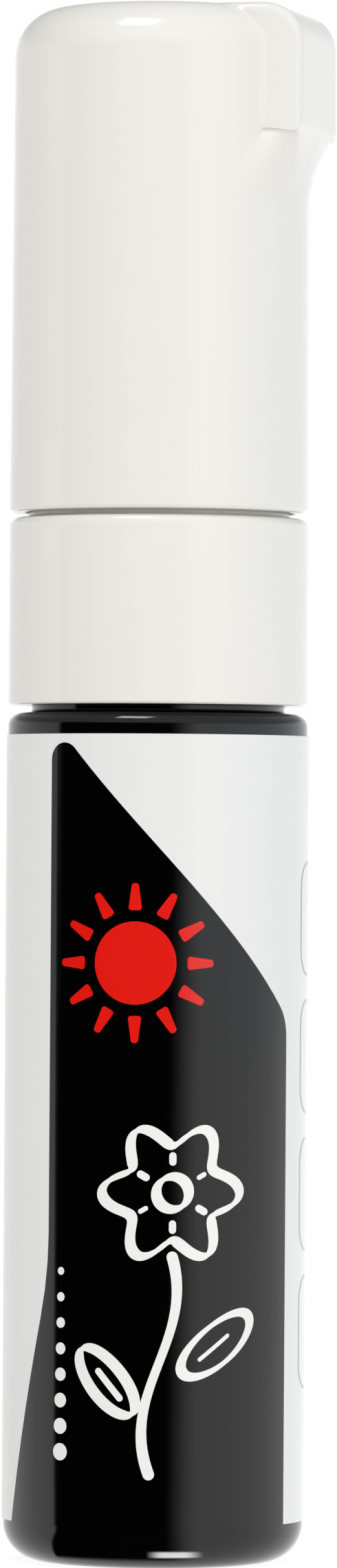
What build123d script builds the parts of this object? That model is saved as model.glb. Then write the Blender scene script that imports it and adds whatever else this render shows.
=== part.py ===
from build123d import *
from math import atan2, cos, pi, radians, sin, sqrt
import os

# Liquid chalk marker standing on its base, +Z up, origin at the centre of the base.
# The lug of the cap points along +X. All lengths are in millimetres.

# Driving sizes of the whole marker
body_diameter = 27.0  # barrel, ring of the front holder and cap mouth run flush
barrel_height = 76.4  # base to shoulder
ring_height = 16.9  # white ring that shows between barrel and cap
cap_height = 45.5
shoulder_gap = 0.7  # open groove over the barrel's shoulder
cap_gap = 0.5  # open groove under the cap's mouth
slide_clearance = 0.1  # all round a piece that slides or drops into another
cut_overrun = 1.0  # how far a cut runs past the face it opens

# Barrel
barrel_wall = 1.3
barrel_floor = 2.2
base_round = 3.5
shoulder_round = 1.2
shoulder_wall = 2.0
foot_width = 1.6  # flat ring the marker stands on
dish_depth = 0.5  # recess inside that ring
neck_step = 2.1  # shoulder to neck, along a radius
neck_wall = 1.7
neck_height = 11.0
neck_edge = 0.4
snap_height = 1.2  # bead in the front holder that clicks into the neck
snap_depth = 0.4
snap_rise = 5.0  # shoulder to the middle of the snap

# Label film
label_thickness = 0.12
label_seam = 0.4
label_low_margin = 0.3  # label to the round of the base
label_high_margin = 0.8  # label to the round of the shoulder

# Valve
gasket_thickness = 0.8
flange_thickness = 1.2
seat_hub_height = 1.7  # valve seat below the flange
seat_bore_radius = 2.5
tube_bore_radius = 4.3
tube_wall = 1.2
window_count = 4
window_width = 3.0
window_height = 5.0
window_rise = 3.5  # bottom of the housing to the windows
seal_thickness = 1.0
head_radius = 3.7
head_thickness = 1.5
stem_radius = 1.5
stem_rise = 6.6  # stem above the flange, where the nib rests on it
stem_edge = 0.3
tail_radius = 1.2
tail_engagement = 0.6  # tail of the stem inside the plug's guide hole
spring_length = 12.0  # as fitted
spring_radius = 2.7  # to the middle of the wire
spring_wire = 0.5
spring_turns = 5
spring_arc_count = 4  # pairs of arcs in a turn of the wire
spring_sample_count = 72  # points in a turn where the gap between turns is measured
spring_seat_clearance = 0.05
plug_floor = 1.2
plug_spigot_height = 2.0
plug_spigot_wall = 0.8
plug_port_count = 4
plug_port_radius = 0.5

# Front holder
ring_top_round = 0.8
ring_low_round = 0.3
cap_seat_step = 1.7  # ring to cap seat, along a radius
cap_seat_height = 10.0
cap_bead_height = 1.6
cap_bead_rise = 0.2  # bead over the cap seat
cap_bead_level = 3.5  # ring to the middle of the bead
chamber_height = 8.5
chamber_wall = 2.2
nose_seal_step = 2.8  # cap seat to the seal on the nose, along a radius
nose_seal_height = 6.0
nose_taper_height = 9.0
nose_tip_wall = 1.3  # round the corners of the nib
nose_round = 0.5

# Nib
nib_width = 8.0
nib_thickness = 6.0
nib_corner = 0.7
nib_slant = 4.0  # drop of the chisel cut across the width
nib_tip_round = 0.5
nib_headroom = 7.5  # nib to the ceiling of the liner

# Cap
cap_wall = 1.4
cap_ceiling = 2.0
cap_draft = 0.25  # the closed end is this much smaller in radius than the mouth
cap_top_round = 4.3
cap_inner_round = 2.6
cap_mouth_round = 0.4
lug_reach = 14.55  # axis to the outer face of the lug
lug_width = 13.4  # at its lower edge
lug_draft = 1.2  # degrees that each side wall leans in towards the top
lug_height = 11.4  # top of the cap to the lower edge of the lug
lug_top_round = 3.8
lug_edge = 0.6  # round between the outer face and the side walls
ramp_height = 6.7  # slope that runs from the lug back into the cap
ramp_inset = 0.1  # outer face of the lug to the top of the slope
ramp_nose_width = 12.6
ramp_low_angle = 44.0  # degrees round the cap, each side, where the foot of the slope ends
ramp_high_angle = 30.0  # and where it ends under the lug, just inside the lug's walls
ramp_edge = 1.2  # round between the nose of the slope and its sides
ramp_edge_share = 0.5  # of the side of the slope, the most that this round takes
ramp_bury = 0.15  # how far the slope starts inside the cap's surface
ramp_crown = 0.05  # bulge of the slope's nose
ramp_shares = ((0, 0), (0.3, 0.13), (0.65, 0.48), (1, 1))  # of its height and of its reach
rib_count = 6
rib_thickness = 1.0
rib_lift = 6.0  # mouth of the liner to the ribs

# Cap liner
liner_wall = 0.8
liner_ceiling = 1.0

# Mixing balls
ball_radius = 3.0
ball_offset = 5.5
ball_clearance = 0.05

# Radii and levels that follow from the sizes above
body_radius = body_diameter / 2
cavity_radius = body_radius - barrel_wall
neck_radius = body_radius - neck_step
neck_bore_radius = neck_radius - neck_wall
neck_top = barrel_height + neck_height
gasket_top = neck_top + gasket_thickness
flange_top = gasket_top + flange_thickness
seat_level = gasket_top - seat_hub_height
head_top = seat_level - seal_thickness
head_bottom = head_top - head_thickness
plug_level = head_bottom - spring_length
plug_bottom = plug_level - plug_floor
stem_top = flange_top + stem_rise
ring_bottom = barrel_height + shoulder_gap
ring_top = ring_bottom + ring_height
cap_seat_radius = body_radius - cap_seat_step
cap_seat_top = ring_top + cap_seat_height
nose_seal_radius = cap_seat_radius - nose_seal_step
nose_seal_top = cap_seat_top + nose_seal_height
nose_top = nose_seal_top + nose_taper_height
cap_mouth = ring_top + cap_gap
cap_top = cap_mouth + cap_height
cap_bore_radius = body_radius - cap_wall
cap_inner_top = cap_top - cap_ceiling
cap_end_radius = body_radius - cap_draft
ramp_root_radius = cap_end_radius - ramp_bury
ramp_reach = lug_reach - ramp_inset
liner_bore_radius = nose_seal_radius + slide_clearance
liner_radius = liner_bore_radius + liner_wall
liner_mouth = cap_seat_top  # the liner seats on the step of the front holder
liner_inner_top = cap_inner_top - liner_ceiling
nib_top = liner_inner_top - nib_headroom
lug_bottom = cap_top - lug_height
upright = (Align.CENTER, Align.CENTER, Align.MIN)

os.makedirs("parts", exist_ok=True)

# Barrel: a bottle with a dished base, a rounded shoulder and a neck with a snap groove
with BuildPart() as barrel:
    Cylinder(body_radius, barrel_height, align=upright)
    round_edges = barrel.edges().filter_by(GeomType.CIRCLE).group_by(Axis.Z)
    fillet(round_edges[0], base_round)
    round_edges = barrel.edges().filter_by(GeomType.CIRCLE).group_by(Axis.Z)
    fillet(round_edges[-1], shoulder_round)
    with Locations((0, 0, barrel_height)):
        Cylinder(neck_radius, neck_height, align=upright)
    chamfer(barrel.edges().filter_by(GeomType.CIRCLE).group_by(Axis.Z)[-1], neck_edge)
    Cylinder(body_radius - base_round - foot_width, dish_depth, align=upright, mode=Mode.SUBTRACT)
    with BuildSketch(Plane.XZ) as cavity:
        slope = cavity_radius - neck_bore_radius
        with BuildLine():
            Polyline(
                (0, barrel_floor),
                (cavity_radius, barrel_floor),
                (cavity_radius, barrel_height - shoulder_wall - slope),
                (neck_bore_radius, barrel_height - shoulder_wall),
                (neck_bore_radius, neck_top + cut_overrun),
                (0, neck_top + cut_overrun),
                close=True,
            )
        make_face()
        fillet(cavity.vertices().group_by(Axis.Y)[0].sort_by(Axis.X)[-1], base_round - barrel_wall)
    revolve(axis=Axis.Z, mode=Mode.SUBTRACT)
    groove_height = snap_height + 2 * slide_clearance
    groove_radius = neck_radius - snap_depth - slide_clearance
    with BuildSketch(Plane.XZ):
        with Locations((neck_radius, barrel_height + snap_rise)):
            Rectangle(2 * (neck_radius - groove_radius), groove_height)
    revolve(axis=Axis.Z, mode=Mode.SUBTRACT)
barrel.part.label = "barrel"
export_step(barrel.part, "parts/barrel.step")

# Label: one sheet of film round the straight part of the barrel, its seam at the back
with BuildPart() as barrel_label:
    label_low = base_round + label_low_margin
    label_high = barrel_height - shoulder_round - label_high_margin
    with BuildSketch(Plane.XY.offset(label_low)):
        Circle(body_radius + label_thickness)
        Circle(body_radius, mode=Mode.SUBTRACT)
        with Locations((0, body_radius)):
            Rectangle(label_seam, body_radius, mode=Mode.SUBTRACT)
    extrude(amount=label_high - label_low)
barrel_label.part.label = "barrel_label"
export_step(barrel_label.part, "parts/barrel_label.step")

# Neck gasket: flat washer on top of the neck
with BuildPart() as neck_gasket:
    with BuildSketch(Plane.XY.offset(neck_top)):
        Circle(neck_radius - neck_edge)
        Circle(neck_bore_radius, mode=Mode.SUBTRACT)
    extrude(amount=gasket_thickness)
neck_gasket.part.label = "neck_gasket"
export_step(neck_gasket.part, "parts/neck_gasket.step")

# Valve housing: flange on the gasket, a tube that hangs in the neck, and the valve seat between them
with BuildPart() as valve_housing:
    tube_radius = tube_bore_radius + tube_wall
    with BuildSketch(Plane.XZ):
        with BuildLine():
            Polyline(
                (seat_bore_radius, flange_top),
                (neck_radius - neck_edge, flange_top),
                (neck_radius - neck_edge, gasket_top),
                (tube_radius, gasket_top),
                (tube_radius, plug_level),
                (tube_bore_radius, plug_level),
                (tube_bore_radius, seat_level),
                (seat_bore_radius, seat_level),
                close=True,
            )
        make_face()
    revolve(axis=Axis.Z)
    window_middle = plug_level + window_rise + window_height / 2
    with BuildSketch(Plane.XZ) as window:
        with Locations((0, window_middle)):
            SlotOverall(window_height, window_width, rotation=90)
    with PolarLocations(0, window_count // 2, angular_range=180):
        extrude(window.sketch, amount=tube_radius + cut_overrun, both=True, mode=Mode.SUBTRACT)
valve_housing.part.label = "valve_housing"
export_step(valve_housing.part, "parts/valve_housing.step")

# Valve stem: rod under the nib, head that carries the seal, and a tail guided by the plug
with BuildPart() as valve_stem:
    with BuildSketch(Plane.XZ):
        with BuildLine():
            Polyline(
                (0, stem_top),
                (stem_radius, stem_top),
                (stem_radius, head_top),
                (head_radius, head_top),
                (head_radius, head_bottom),
                (tail_radius, head_bottom),
                (tail_radius, plug_level - tail_engagement),
                (0, plug_level - tail_engagement),
                close=True,
            )
        make_face()
    revolve(axis=Axis.Z)
    chamfer(valve_stem.edges().filter_by(GeomType.CIRCLE).group_by(Axis.Z)[0], stem_edge)
valve_stem.part.label = "valve_stem"
export_step(valve_stem.part, "parts/valve_stem.step")

# Stem seal: washer between the head of the stem and the valve seat
with BuildPart() as stem_seal:
    with BuildSketch(Plane.XY.offset(head_top)):
        Circle(head_radius)
        Circle(stem_radius, mode=Mode.SUBTRACT)
    extrude(amount=seal_thickness)
stem_seal.part.label = "stem_seal"
export_step(stem_seal.part, "parts/stem_seal.step")

# Spring plug: closes the housing, seats the spring, guides the tail and lets ink through its ports
with BuildPart() as spring_plug:
    spigot_radius = tube_bore_radius - slide_clearance
    with Locations((0, 0, plug_bottom)):
        Cylinder(tube_bore_radius + tube_wall, plug_floor, align=upright)
    with BuildSketch(Plane.XY.offset(plug_level)):
        Circle(spigot_radius)
        Circle(spigot_radius - plug_spigot_wall, mode=Mode.SUBTRACT)
    extrude(amount=plug_spigot_height)
    with BuildSketch(Plane.XY.offset(plug_bottom)):
        Circle(tail_radius + slide_clearance)
        with PolarLocations((tail_radius + slide_clearance + spring_radius) / 2, plug_port_count):
            Circle(plug_port_radius)
    extrude(amount=plug_floor, mode=Mode.SUBTRACT)
spring_plug.part.label = "spring_plug"
export_step(spring_plug.part, "parts/spring_plug.step")

# Valve spring: open-ended compression spring, one round wire swept along quarter-turn biarcs
spring_low = plug_level + spring_wire / 2 + spring_seat_clearance
spring_climb = spring_length - spring_wire - 2 * spring_seat_clearance
spring_angle = spring_turns * 2 * pi
quarter_count = spring_turns * spring_arc_count


def spring_point(angle):
    """Point on the middle line of the spring's wire at an angle from its lower end."""
    height = spring_low + spring_climb * angle / spring_angle
    return Vector(spring_radius * cos(angle), spring_radius * sin(angle), height)


def spring_direction(angle):
    """Unit direction of the wire at an angle from its lower end."""
    climb = spring_climb / spring_angle
    return Vector(-spring_radius * sin(angle), spring_radius * cos(angle), climb).normalized()


def biarc_joint(start, start_way, end, end_way):
    """Point and direction where two arcs of equal tangent length meet, one leaving start, one reaching end."""
    chord = end - start
    ways = start_way + end_way
    square = ways.dot(ways) - 4
    reach = (chord.dot(ways) - sqrt(chord.dot(ways) ** 2 - square * chord.dot(chord))) / square
    leave = start + start_way * reach
    arrive = end - end_way * reach
    return (leave + arrive) / 2, (arrive - leave).normalized()


def spring_self_gap():
    """Least distance between the surfaces of turns of the wire that lie next to each other."""
    steps = spring_turns * spring_sample_count
    points = [spring_point(spring_angle * step / steps) for step in range(steps + 1)]
    return min(
        (points[later] - points[early]).length
        for early in range(steps)
        for later in range(early + steps // (2 * spring_turns), steps + 1)
    ) - spring_wire


with BuildPart() as valve_spring:
    with BuildLine() as wire_path:
        for quarter in range(quarter_count):
            angles = [spring_angle * step / quarter_count for step in (quarter, quarter + 1)]
            low, high = (spring_point(angle) for angle in angles)
            low_way, high_way = (spring_direction(angle) for angle in angles)
            joint, joint_way = biarc_joint(low, low_way, high, high_way)
            TangentArc(low, joint, tangent=low_way)
            TangentArc(joint, high, tangent=joint_way)
    with BuildSketch(Plane(origin=spring_point(0), z_dir=spring_direction(0))):
        Circle(spring_wire / 2)
    sweep(path=wire_path.wires()[0])
valve_spring.part.label = "valve_spring"
export_step(valve_spring.part, "parts/valve_spring.step")
print("least gap between turns of the spring", round(spring_self_gap(), 2), "mm")

# Front holder: ring flush with the barrel, seat for the cap, and a nose with the channel of the nib
channel_width = nib_width + 2 * slide_clearance
channel_thickness = nib_thickness + 2 * slide_clearance
nose_tip_radius = sqrt(channel_width**2 + channel_thickness**2) / 2 + nose_tip_wall
with BuildPart() as front_holder:
    socket_radius = neck_radius + slide_clearance
    bead_half = cap_bead_height / 2
    bead_middle = ring_top + cap_bead_level
    with BuildSketch(Plane.XZ) as holder_outline:
        with BuildLine():
            Polyline(
                (0, ring_bottom),
                (body_radius, ring_bottom),
                (body_radius, ring_top),
                (cap_seat_radius, ring_top),
                (cap_seat_radius, bead_middle - bead_half),
            )
            ThreePointArc(
                (cap_seat_radius, bead_middle - bead_half),
                (cap_seat_radius + cap_bead_rise, bead_middle),
                (cap_seat_radius, bead_middle + bead_half),
            )
            Polyline(
                (cap_seat_radius, bead_middle + bead_half),
                (cap_seat_radius, cap_seat_top),
                (nose_seal_radius, cap_seat_top),
                (nose_seal_radius, nose_seal_top),
                (nose_tip_radius, nose_top),
                (0, nose_top),
                (0, ring_bottom),
            )
        make_face()
        rim = holder_outline.vertices().filter_by(lambda v: v.X > neck_radius)
        fillet(rim.filter_by(lambda v: v.X > cap_bore_radius).group_by(Axis.Y)[-1], ring_top_round)
        rim = holder_outline.vertices().filter_by(lambda v: v.X > neck_radius)
        fillet(rim.group_by(Axis.Y)[0], ring_low_round)
        seal_edge = Vector(nose_seal_radius, nose_seal_top)
        fillet(holder_outline.vertices().sort_by_distance(seal_edge)[0], nose_round)
        fillet(holder_outline.vertices().group_by(Axis.Y)[-1].sort_by(Axis.X)[-1], nose_round)
    revolve(axis=Axis.Z)
    with BuildSketch(Plane.XZ):
        chamber_radius = cap_seat_radius - chamber_wall
        chamber_top = flange_top + chamber_height
        roof_radius = nose_seal_radius - chamber_wall
        with BuildLine():
            Polyline(
                (0, ring_bottom - cut_overrun),
                (socket_radius, ring_bottom - cut_overrun),
                (socket_radius, flange_top),
                (chamber_radius, flange_top),
                (chamber_radius, chamber_top),
                (roof_radius, chamber_top + chamber_radius - roof_radius),
                (0, chamber_top + chamber_radius - roof_radius),
                close=True,
            )
        make_face()
    revolve(axis=Axis.Z, mode=Mode.SUBTRACT)
    with BuildSketch(Plane.XZ):
        snap_middle = barrel_height + snap_rise
        with BuildLine():
            Polyline(
                (socket_radius + cut_overrun, snap_middle - snap_height / 2),
                (socket_radius, snap_middle - snap_height / 2),
                (neck_radius - snap_depth, snap_middle),
                (socket_radius, snap_middle + snap_height / 2),
                (socket_radius + cut_overrun, snap_middle + snap_height / 2),
                close=True,
            )
        make_face()
    revolve(axis=Axis.Z)
    with BuildSketch(Plane.XY.offset(flange_top)):
        RectangleRounded(channel_width, channel_thickness, nib_corner + slide_clearance)
    extrude(amount=nose_top + cut_overrun - flange_top, mode=Mode.SUBTRACT)
front_holder.part.label = "front_holder"
export_step(front_holder.part, "parts/front_holder.step")

# Nib: felt bar with a chisel cut that slopes down across its width
with BuildPart() as nib:
    with BuildSketch(Plane.XY.offset(stem_top)):
        RectangleRounded(nib_width, nib_thickness, nib_corner)
    extrude(amount=nib_top - stem_top)
    with BuildSketch(Plane.XZ):
        with BuildLine():
            Polyline(
                (nib_width / 2 + cut_overrun, nib_top + nib_slant * cut_overrun / nib_width),
                (-nib_width / 2 - cut_overrun, nib_top - nib_slant - nib_slant * cut_overrun / nib_width),
                (-nib_width / 2 - cut_overrun, nib_top + cut_overrun),
                (nib_width / 2 + cut_overrun, nib_top + cut_overrun),
                close=True,
            )
        make_face()
    extrude(amount=nib_thickness, both=True, mode=Mode.SUBTRACT)
    fillet(nib.faces().sort_by(Axis.Z)[-1].edges(), nib_tip_round)
nib.part.label = "nib"
export_step(nib.part, "parts/nib.step")

# Lug of the cap: flush with the cap's top, with a rounded crest and drafted side walls
with BuildPart() as lug:
    with BuildSketch(Plane.XZ) as lug_side:
        with BuildLine():
            Polyline(
                (0, lug_bottom),
                (lug_reach, lug_bottom),
                (lug_reach, cap_top),
                (0, cap_top),
                close=True,
            )
        make_face()
        fillet(lug_side.vertices().group_by(Axis.Y)[-1].sort_by(Axis.X)[-1], lug_top_round)
    extrude(amount=lug_width / 2, both=True)
    draft(lug.faces().filter_by(Axis.Y), Plane.XY.offset(lug_bottom), lug_draft)
    lug_walls = lug.faces().sort_by(Axis.Y)
    lug_rims = (lug_walls[0].edges() + lug_walls[-1].edges()).filter_by(
        lambda edge: edge.center().X > 0 and edge.center().Z > lug_bottom + lug_edge
    )
    fillet(lug_rims, lug_edge)

# Slope under the lug: sections that swell from the round of the cap to the lower edge of the lug
def ramp_section(height_share, reach_share):
    """Outline of the slope at a share of its height, where it has a share of its full reach."""
    level = lug_bottom - ramp_height * (1 - height_share)
    root_angle = radians(ramp_low_angle + (ramp_high_angle - ramp_low_angle) * reach_share)
    root = Vector(cos(root_angle), sin(root_angle)) * ramp_root_radius
    edge_angle = atan2(ramp_nose_width / 2, lug_reach)
    rest = Vector(cos(edge_angle), sin(edge_angle)) * ramp_root_radius
    corner = rest + (Vector(ramp_reach, ramp_nose_width / 2) - rest) * reach_share
    crown = Vector(ramp_root_radius + (ramp_reach + ramp_crown - ramp_root_radius) * reach_share, 0)
    with BuildSketch(Plane.XY.offset(level)) as section:
        with BuildLine():
            Line(root, corner)
            ThreePointArc(corner, crown, Vector(corner.X, -corner.Y))
            Polyline((corner.X, -corner.Y), (root.X, -root.Y), root)
        make_face()
        fillet(section.vertices().group_by(Axis.X)[-1], min(ramp_edge, ramp_edge_share * (corner - root).length))
    return section.sketch


with BuildPart() as ramp:
    loft([ramp_section(*shares) for shares in ramp_shares])

# Cap shell: drafted cup with the lug and its slope outside, and ribs inside that grip the liner
with BuildPart() as cap_shell:
    with BuildSketch(Plane.XZ) as cup_outline:
        with BuildLine():
            Polyline(
                (0, cap_mouth),
                (body_radius, cap_mouth),
                (cap_end_radius, cap_top),
                (0, cap_top),
                close=True,
            )
        make_face()
        fillet(cup_outline.vertices().group_by(Axis.Y)[-1].sort_by(Axis.X)[-1], cap_top_round)
        fillet(cup_outline.vertices().group_by(Axis.Y)[0].sort_by(Axis.X)[-1], cap_mouth_round)
    revolve(axis=Axis.Z)
    add(ramp.part)
    add(lug.part)
    with BuildSketch(Plane.XZ) as cup_cavity:
        with BuildLine():
            Polyline(
                (0, cap_mouth - cut_overrun),
                (cap_bore_radius, cap_mouth - cut_overrun),
                (cap_bore_radius, cap_inner_top),
                (0, cap_inner_top),
                close=True,
            )
        make_face()
        fillet(cup_cavity.vertices().group_by(Axis.Y)[-1].sort_by(Axis.X)[-1], cap_inner_round)
    revolve(axis=Axis.Z, mode=Mode.SUBTRACT)
    rib_low = liner_mouth + rib_lift
    with BuildSketch(Plane.XY.offset(rib_low)):
        with PolarLocations((liner_radius + cap_bore_radius) / 2, rib_count):
            Rectangle(cap_bore_radius - liner_radius + 2 * rib_thickness, rib_thickness)
        Circle(liner_radius, mode=Mode.SUBTRACT)
        Circle(cap_bore_radius + cap_wall / 2, mode=Mode.INTERSECT)
    extrude(amount=cap_inner_top - cap_inner_round - rib_low)
cap_shell.part.label = "cap_shell"
export_step(cap_shell.part, "parts/cap_shell.step")

# Cap liner: thin cup pressed against the ceiling of the cap, its mouth round the nose of the holder
with BuildPart() as cap_liner:
    with BuildSketch(Plane.XZ) as liner_outline:
        with BuildLine():
            Polyline(
                (0, cap_inner_top),
                (liner_radius, cap_inner_top),
                (liner_radius, liner_mouth),
                (liner_bore_radius, liner_mouth),
                (liner_bore_radius, liner_inner_top),
                (0, liner_inner_top),
                close=True,
            )
        make_face()
        fillet(liner_outline.vertices().group_by(Axis.Y)[-1].sort_by(Axis.X)[-1], liner_wall)
    revolve(axis=Axis.Z)
cap_liner.part.label = "cap_liner"
export_step(cap_liner.part, "parts/cap_liner.step")

# Mixing balls: loose in the barrel, resting on its floor
ball_level = barrel_floor + ball_radius + ball_clearance
for number, side in ((1, 1), (2, -1)):
    with BuildPart() as mixing_ball:
        with Locations((side * ball_offset, 0, ball_level)):
            Sphere(ball_radius)
    mixing_ball.part.label = f"mixing_ball_{number}"
    export_step(mixing_ball.part, f"parts/mixing_ball_{number}.step")
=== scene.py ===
"""Looks of a liquid chalk marker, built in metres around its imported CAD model.

The marker's sizes are in millimetres, and the studio's are in metres.
"""

import logging
import math
from dataclasses import dataclass, field
from enum import Enum
from typing import Optional, Sequence, Union

import bmesh
import bpy
import numpy as np
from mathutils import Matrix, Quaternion, Vector


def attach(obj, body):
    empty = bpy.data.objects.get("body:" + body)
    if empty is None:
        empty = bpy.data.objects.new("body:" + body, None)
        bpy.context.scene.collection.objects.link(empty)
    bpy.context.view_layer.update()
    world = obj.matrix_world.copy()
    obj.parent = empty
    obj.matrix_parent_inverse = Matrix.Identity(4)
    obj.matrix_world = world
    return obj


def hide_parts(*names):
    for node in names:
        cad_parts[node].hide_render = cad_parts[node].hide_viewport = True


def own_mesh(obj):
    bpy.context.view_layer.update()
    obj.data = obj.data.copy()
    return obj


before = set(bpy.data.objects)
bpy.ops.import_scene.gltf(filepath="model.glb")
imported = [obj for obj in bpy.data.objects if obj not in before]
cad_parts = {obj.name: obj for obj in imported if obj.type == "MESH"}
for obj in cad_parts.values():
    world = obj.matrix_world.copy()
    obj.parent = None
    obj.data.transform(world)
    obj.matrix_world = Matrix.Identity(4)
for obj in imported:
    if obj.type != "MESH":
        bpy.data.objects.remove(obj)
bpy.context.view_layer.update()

log = logging.getLogger("marker")

MM = 0.001
VIEW_AZIMUTH = math.radians(15.0)  # side of the marker that the photograph shows, from -Y towards +X
FRONT = Vector((math.sin(VIEW_AZIMUTH), -math.cos(VIEW_AZIMUTH), 0.0))
RIGHT = Vector((math.cos(VIEW_AZIMUTH), math.sin(VIEW_AZIMUTH), 0.0))
UP = Vector((0.0, 0.0, 1.0))
POLE_GAP = 0.3  # radius of the row of points next to a pole, in millimetres
MERGE_DISTANCE = 0.0005 * MM  # points that are nearer each other become one
SHARP_DEG = 38.0  # edges that bend by more stay sharp, unless a piece says otherwise

Input = Union[float, Sequence[float], bpy.types.NodeSocket]
Pair = tuple[float, float]


class Body(Enum):
    """CAD bodies that the pieces ride on."""

    BARREL = "barrel"
    NIB = "nib"
    VALVE = "valve"
    CAP = "cap"


class Slot(Enum):
    """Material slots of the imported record."""

    BLACK_PLASTIC = "black_plastic"
    LABEL_FILM = "label_film"
    WHITE_PLASTIC = "white_plastic"
    LINER_PLASTIC = "liner_plastic"
    VALVE_PLASTIC = "valve_plastic"
    ELASTOMER = "elastomer"
    FELT = "felt"
    STEEL = "steel"


class Closing(Enum):
    """How a skin of rows round the axis is closed."""

    POLES = "poles"
    LOOP = "loop"


def linear(colour: str) -> tuple[float, float, float, float]:
    """Turns an sRGB hex colour to linear light.

    Args:
        colour: hex value such as "#EFEEE9".

    Returns:
        Red, green, blue and alpha.
    """
    shares = [int(colour[place : place + 2], 16) / 255 for place in (1, 3, 5)]
    light = [s / 12.92 if s <= 0.04045 else ((s + 0.055) / 1.055) ** 2.4 for s in shares]
    return (*light, 1.0)


def add_node(
    tree: bpy.types.NodeTree, kind: str, inputs: Optional[dict[Union[int, str], Input]] = None, **settings: object
) -> bpy.types.Node:
    """Adds a node with its settings, and links or sets its inputs.

    Args:
        tree: node tree that takes the node.
        kind: Blender's type name of the node.
        inputs: socket to link or value to set, for each input by name or number.
        settings: properties of the node.

    Returns:
        The new node.
    """
    node = tree.nodes.new(kind)
    for key, value in settings.items():
        setattr(node, key, value)
    for key, value in (inputs or {}).items():
        if isinstance(value, bpy.types.NodeSocket):
            tree.links.new(value, node.inputs[key])
        else:
            node.inputs[key].default_value = value
    return node


@dataclass(frozen=True)
class Finish:
    """A real material and its surface, as a procedural shader."""

    name: str
    colour: str
    roughness: float
    ior: float = 1.5

    def material(self) -> bpy.types.Material:
        """Makes the Blender material at its first use.

        Returns:
            The material.
        """
        made = bpy.data.materials.get(self.name)
        if made is None:
            made = bpy.data.materials.new(self.name)
            made.use_nodes = True
            shader = made.node_tree.nodes["Principled BSDF"]
            shader.inputs["Base Color"].default_value = linear(self.colour)
            shader.inputs["Roughness"].default_value = self.roughness
            shader.inputs["IOR"].default_value = self.ior
            self.pattern(made.node_tree, shader)
        return made

    def pattern(self, tree: bpy.types.NodeTree, shader: bpy.types.Node) -> None:
        """Adds what varies over the surface."""
        raise NotImplementedError


@dataclass(frozen=True)
class SmoothSheet(Finish):
    """A moulded, cast or printed skin: faint clouds of tint, uneven gloss and a shallow ripple, and painted shade in
    narrow gaps where a crevice tint is given.
    """

    second_colour: str = "#FFFFFF"
    cloud_mm: float = 11.0
    ripple_mm: float = 3.0
    ripple_depth_mm: float = 0.004
    gloss_spread: float = 0.04
    painted_crevice_shade: str = ""  # painted shade: tint laid on in narrow gaps, standing in for shade and light thrown to and fro there
    painted_shade_reach_mm: float = 1.5

    def pattern(self, tree: bpy.types.NodeTree, shader: bpy.types.Node) -> None:
        """Adds the clouds, the gloss, the ripple and the painted shade in gaps.

        Args:
            tree: the material's node tree.
            shader: its Principled shader.
        """
        place = add_node(tree, "ShaderNodeTexCoord").outputs["Object"]
        cloud = add_node(
            tree, "ShaderNodeTexNoise", {"Vector": place, "Scale": 1 / (self.cloud_mm * MM), "Detail": 3.0}
        )
        tint = add_node(
            tree,
            "ShaderNodeMix",
            {0: cloud.outputs[0], 6: linear(self.colour), 7: linear(self.second_colour)},
            data_type="RGBA",
        )
        tree.links.new(tint.outputs[2], shader.inputs["Base Color"])
        ripple = add_node(
            tree, "ShaderNodeTexNoise", {"Vector": place, "Scale": 1 / (self.ripple_mm * MM), "Detail": 2.0}
        )
        gloss = add_node(
            tree,
            "ShaderNodeMapRange",
            {0: ripple.outputs[0], 3: self.roughness - self.gloss_spread, 4: self.roughness + self.gloss_spread},
        )
        tree.links.new(gloss.outputs[0], shader.inputs["Roughness"])
        relief = add_node(
            tree,
            "ShaderNodeBump",
            {"Height": ripple.outputs[0], "Strength": 1.0, "Distance": self.ripple_depth_mm * MM},
        )
        tree.links.new(relief.outputs[0], shader.inputs["Normal"])
        # painted shade: where ambient occlusion finds surfaces close by, the base colour turns to a darker, warmer
        # tint
        if self.painted_crevice_shade:
            open_share = add_node(
                tree, "ShaderNodeAmbientOcclusion", {"Distance": self.painted_shade_reach_mm * MM}, samples=6
            )
            shaded = add_node(
                tree,
                "ShaderNodeMix",
                {0: open_share.outputs["AO"], 6: linear(self.painted_crevice_shade), 7: tint.outputs[2]},
                data_type="RGBA",
            )
            tree.links.new(shaded.outputs[2], shader.inputs["Base Color"])


@dataclass(frozen=True)
class PressedFelt(Finish):
    """Felt of polyester fibres pressed along the nib: fine streaks with a rough, matt nap."""

    shade_colour: str = "#CFCBC0"
    fibre_mm: float = 0.22  # coarser than the real fibre of 0.03 mm, so that it shows
    fibre_stretch: float = 9.0
    relief_mm: float = 0.05

    def pattern(self, tree: bpy.types.NodeTree, shader: bpy.types.Node) -> None:
        """Adds the streaks of fibre and the nap.

        Args:
            tree: the material's node tree.
            shader: its Principled shader.
        """
        place = add_node(tree, "ShaderNodeTexCoord").outputs["Object"]
        along = add_node(tree, "ShaderNodeMapping", {"Vector": place, "Scale": (1.0, 1.0, 1 / self.fibre_stretch)})
        fibre = add_node(
            tree,
            "ShaderNodeTexNoise",
            {"Vector": along.outputs[0], "Scale": 1 / (self.fibre_mm * MM), "Detail": 5.0, "Roughness": 0.65},
        )
        tint = add_node(
            tree,
            "ShaderNodeMix",
            {0: fibre.outputs[0], 6: linear(self.shade_colour), 7: linear(self.colour)},
            data_type="RGBA",
        )
        tree.links.new(tint.outputs[2], shader.inputs["Base Color"])
        relief = add_node(
            tree, "ShaderNodeBump", {"Height": fibre.outputs[0], "Strength": 0.8, "Distance": self.relief_mm * MM}
        )
        tree.links.new(relief.outputs[0], shader.inputs["Normal"])
        shader.inputs["Sheen Weight"].default_value = 0.25


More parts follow.
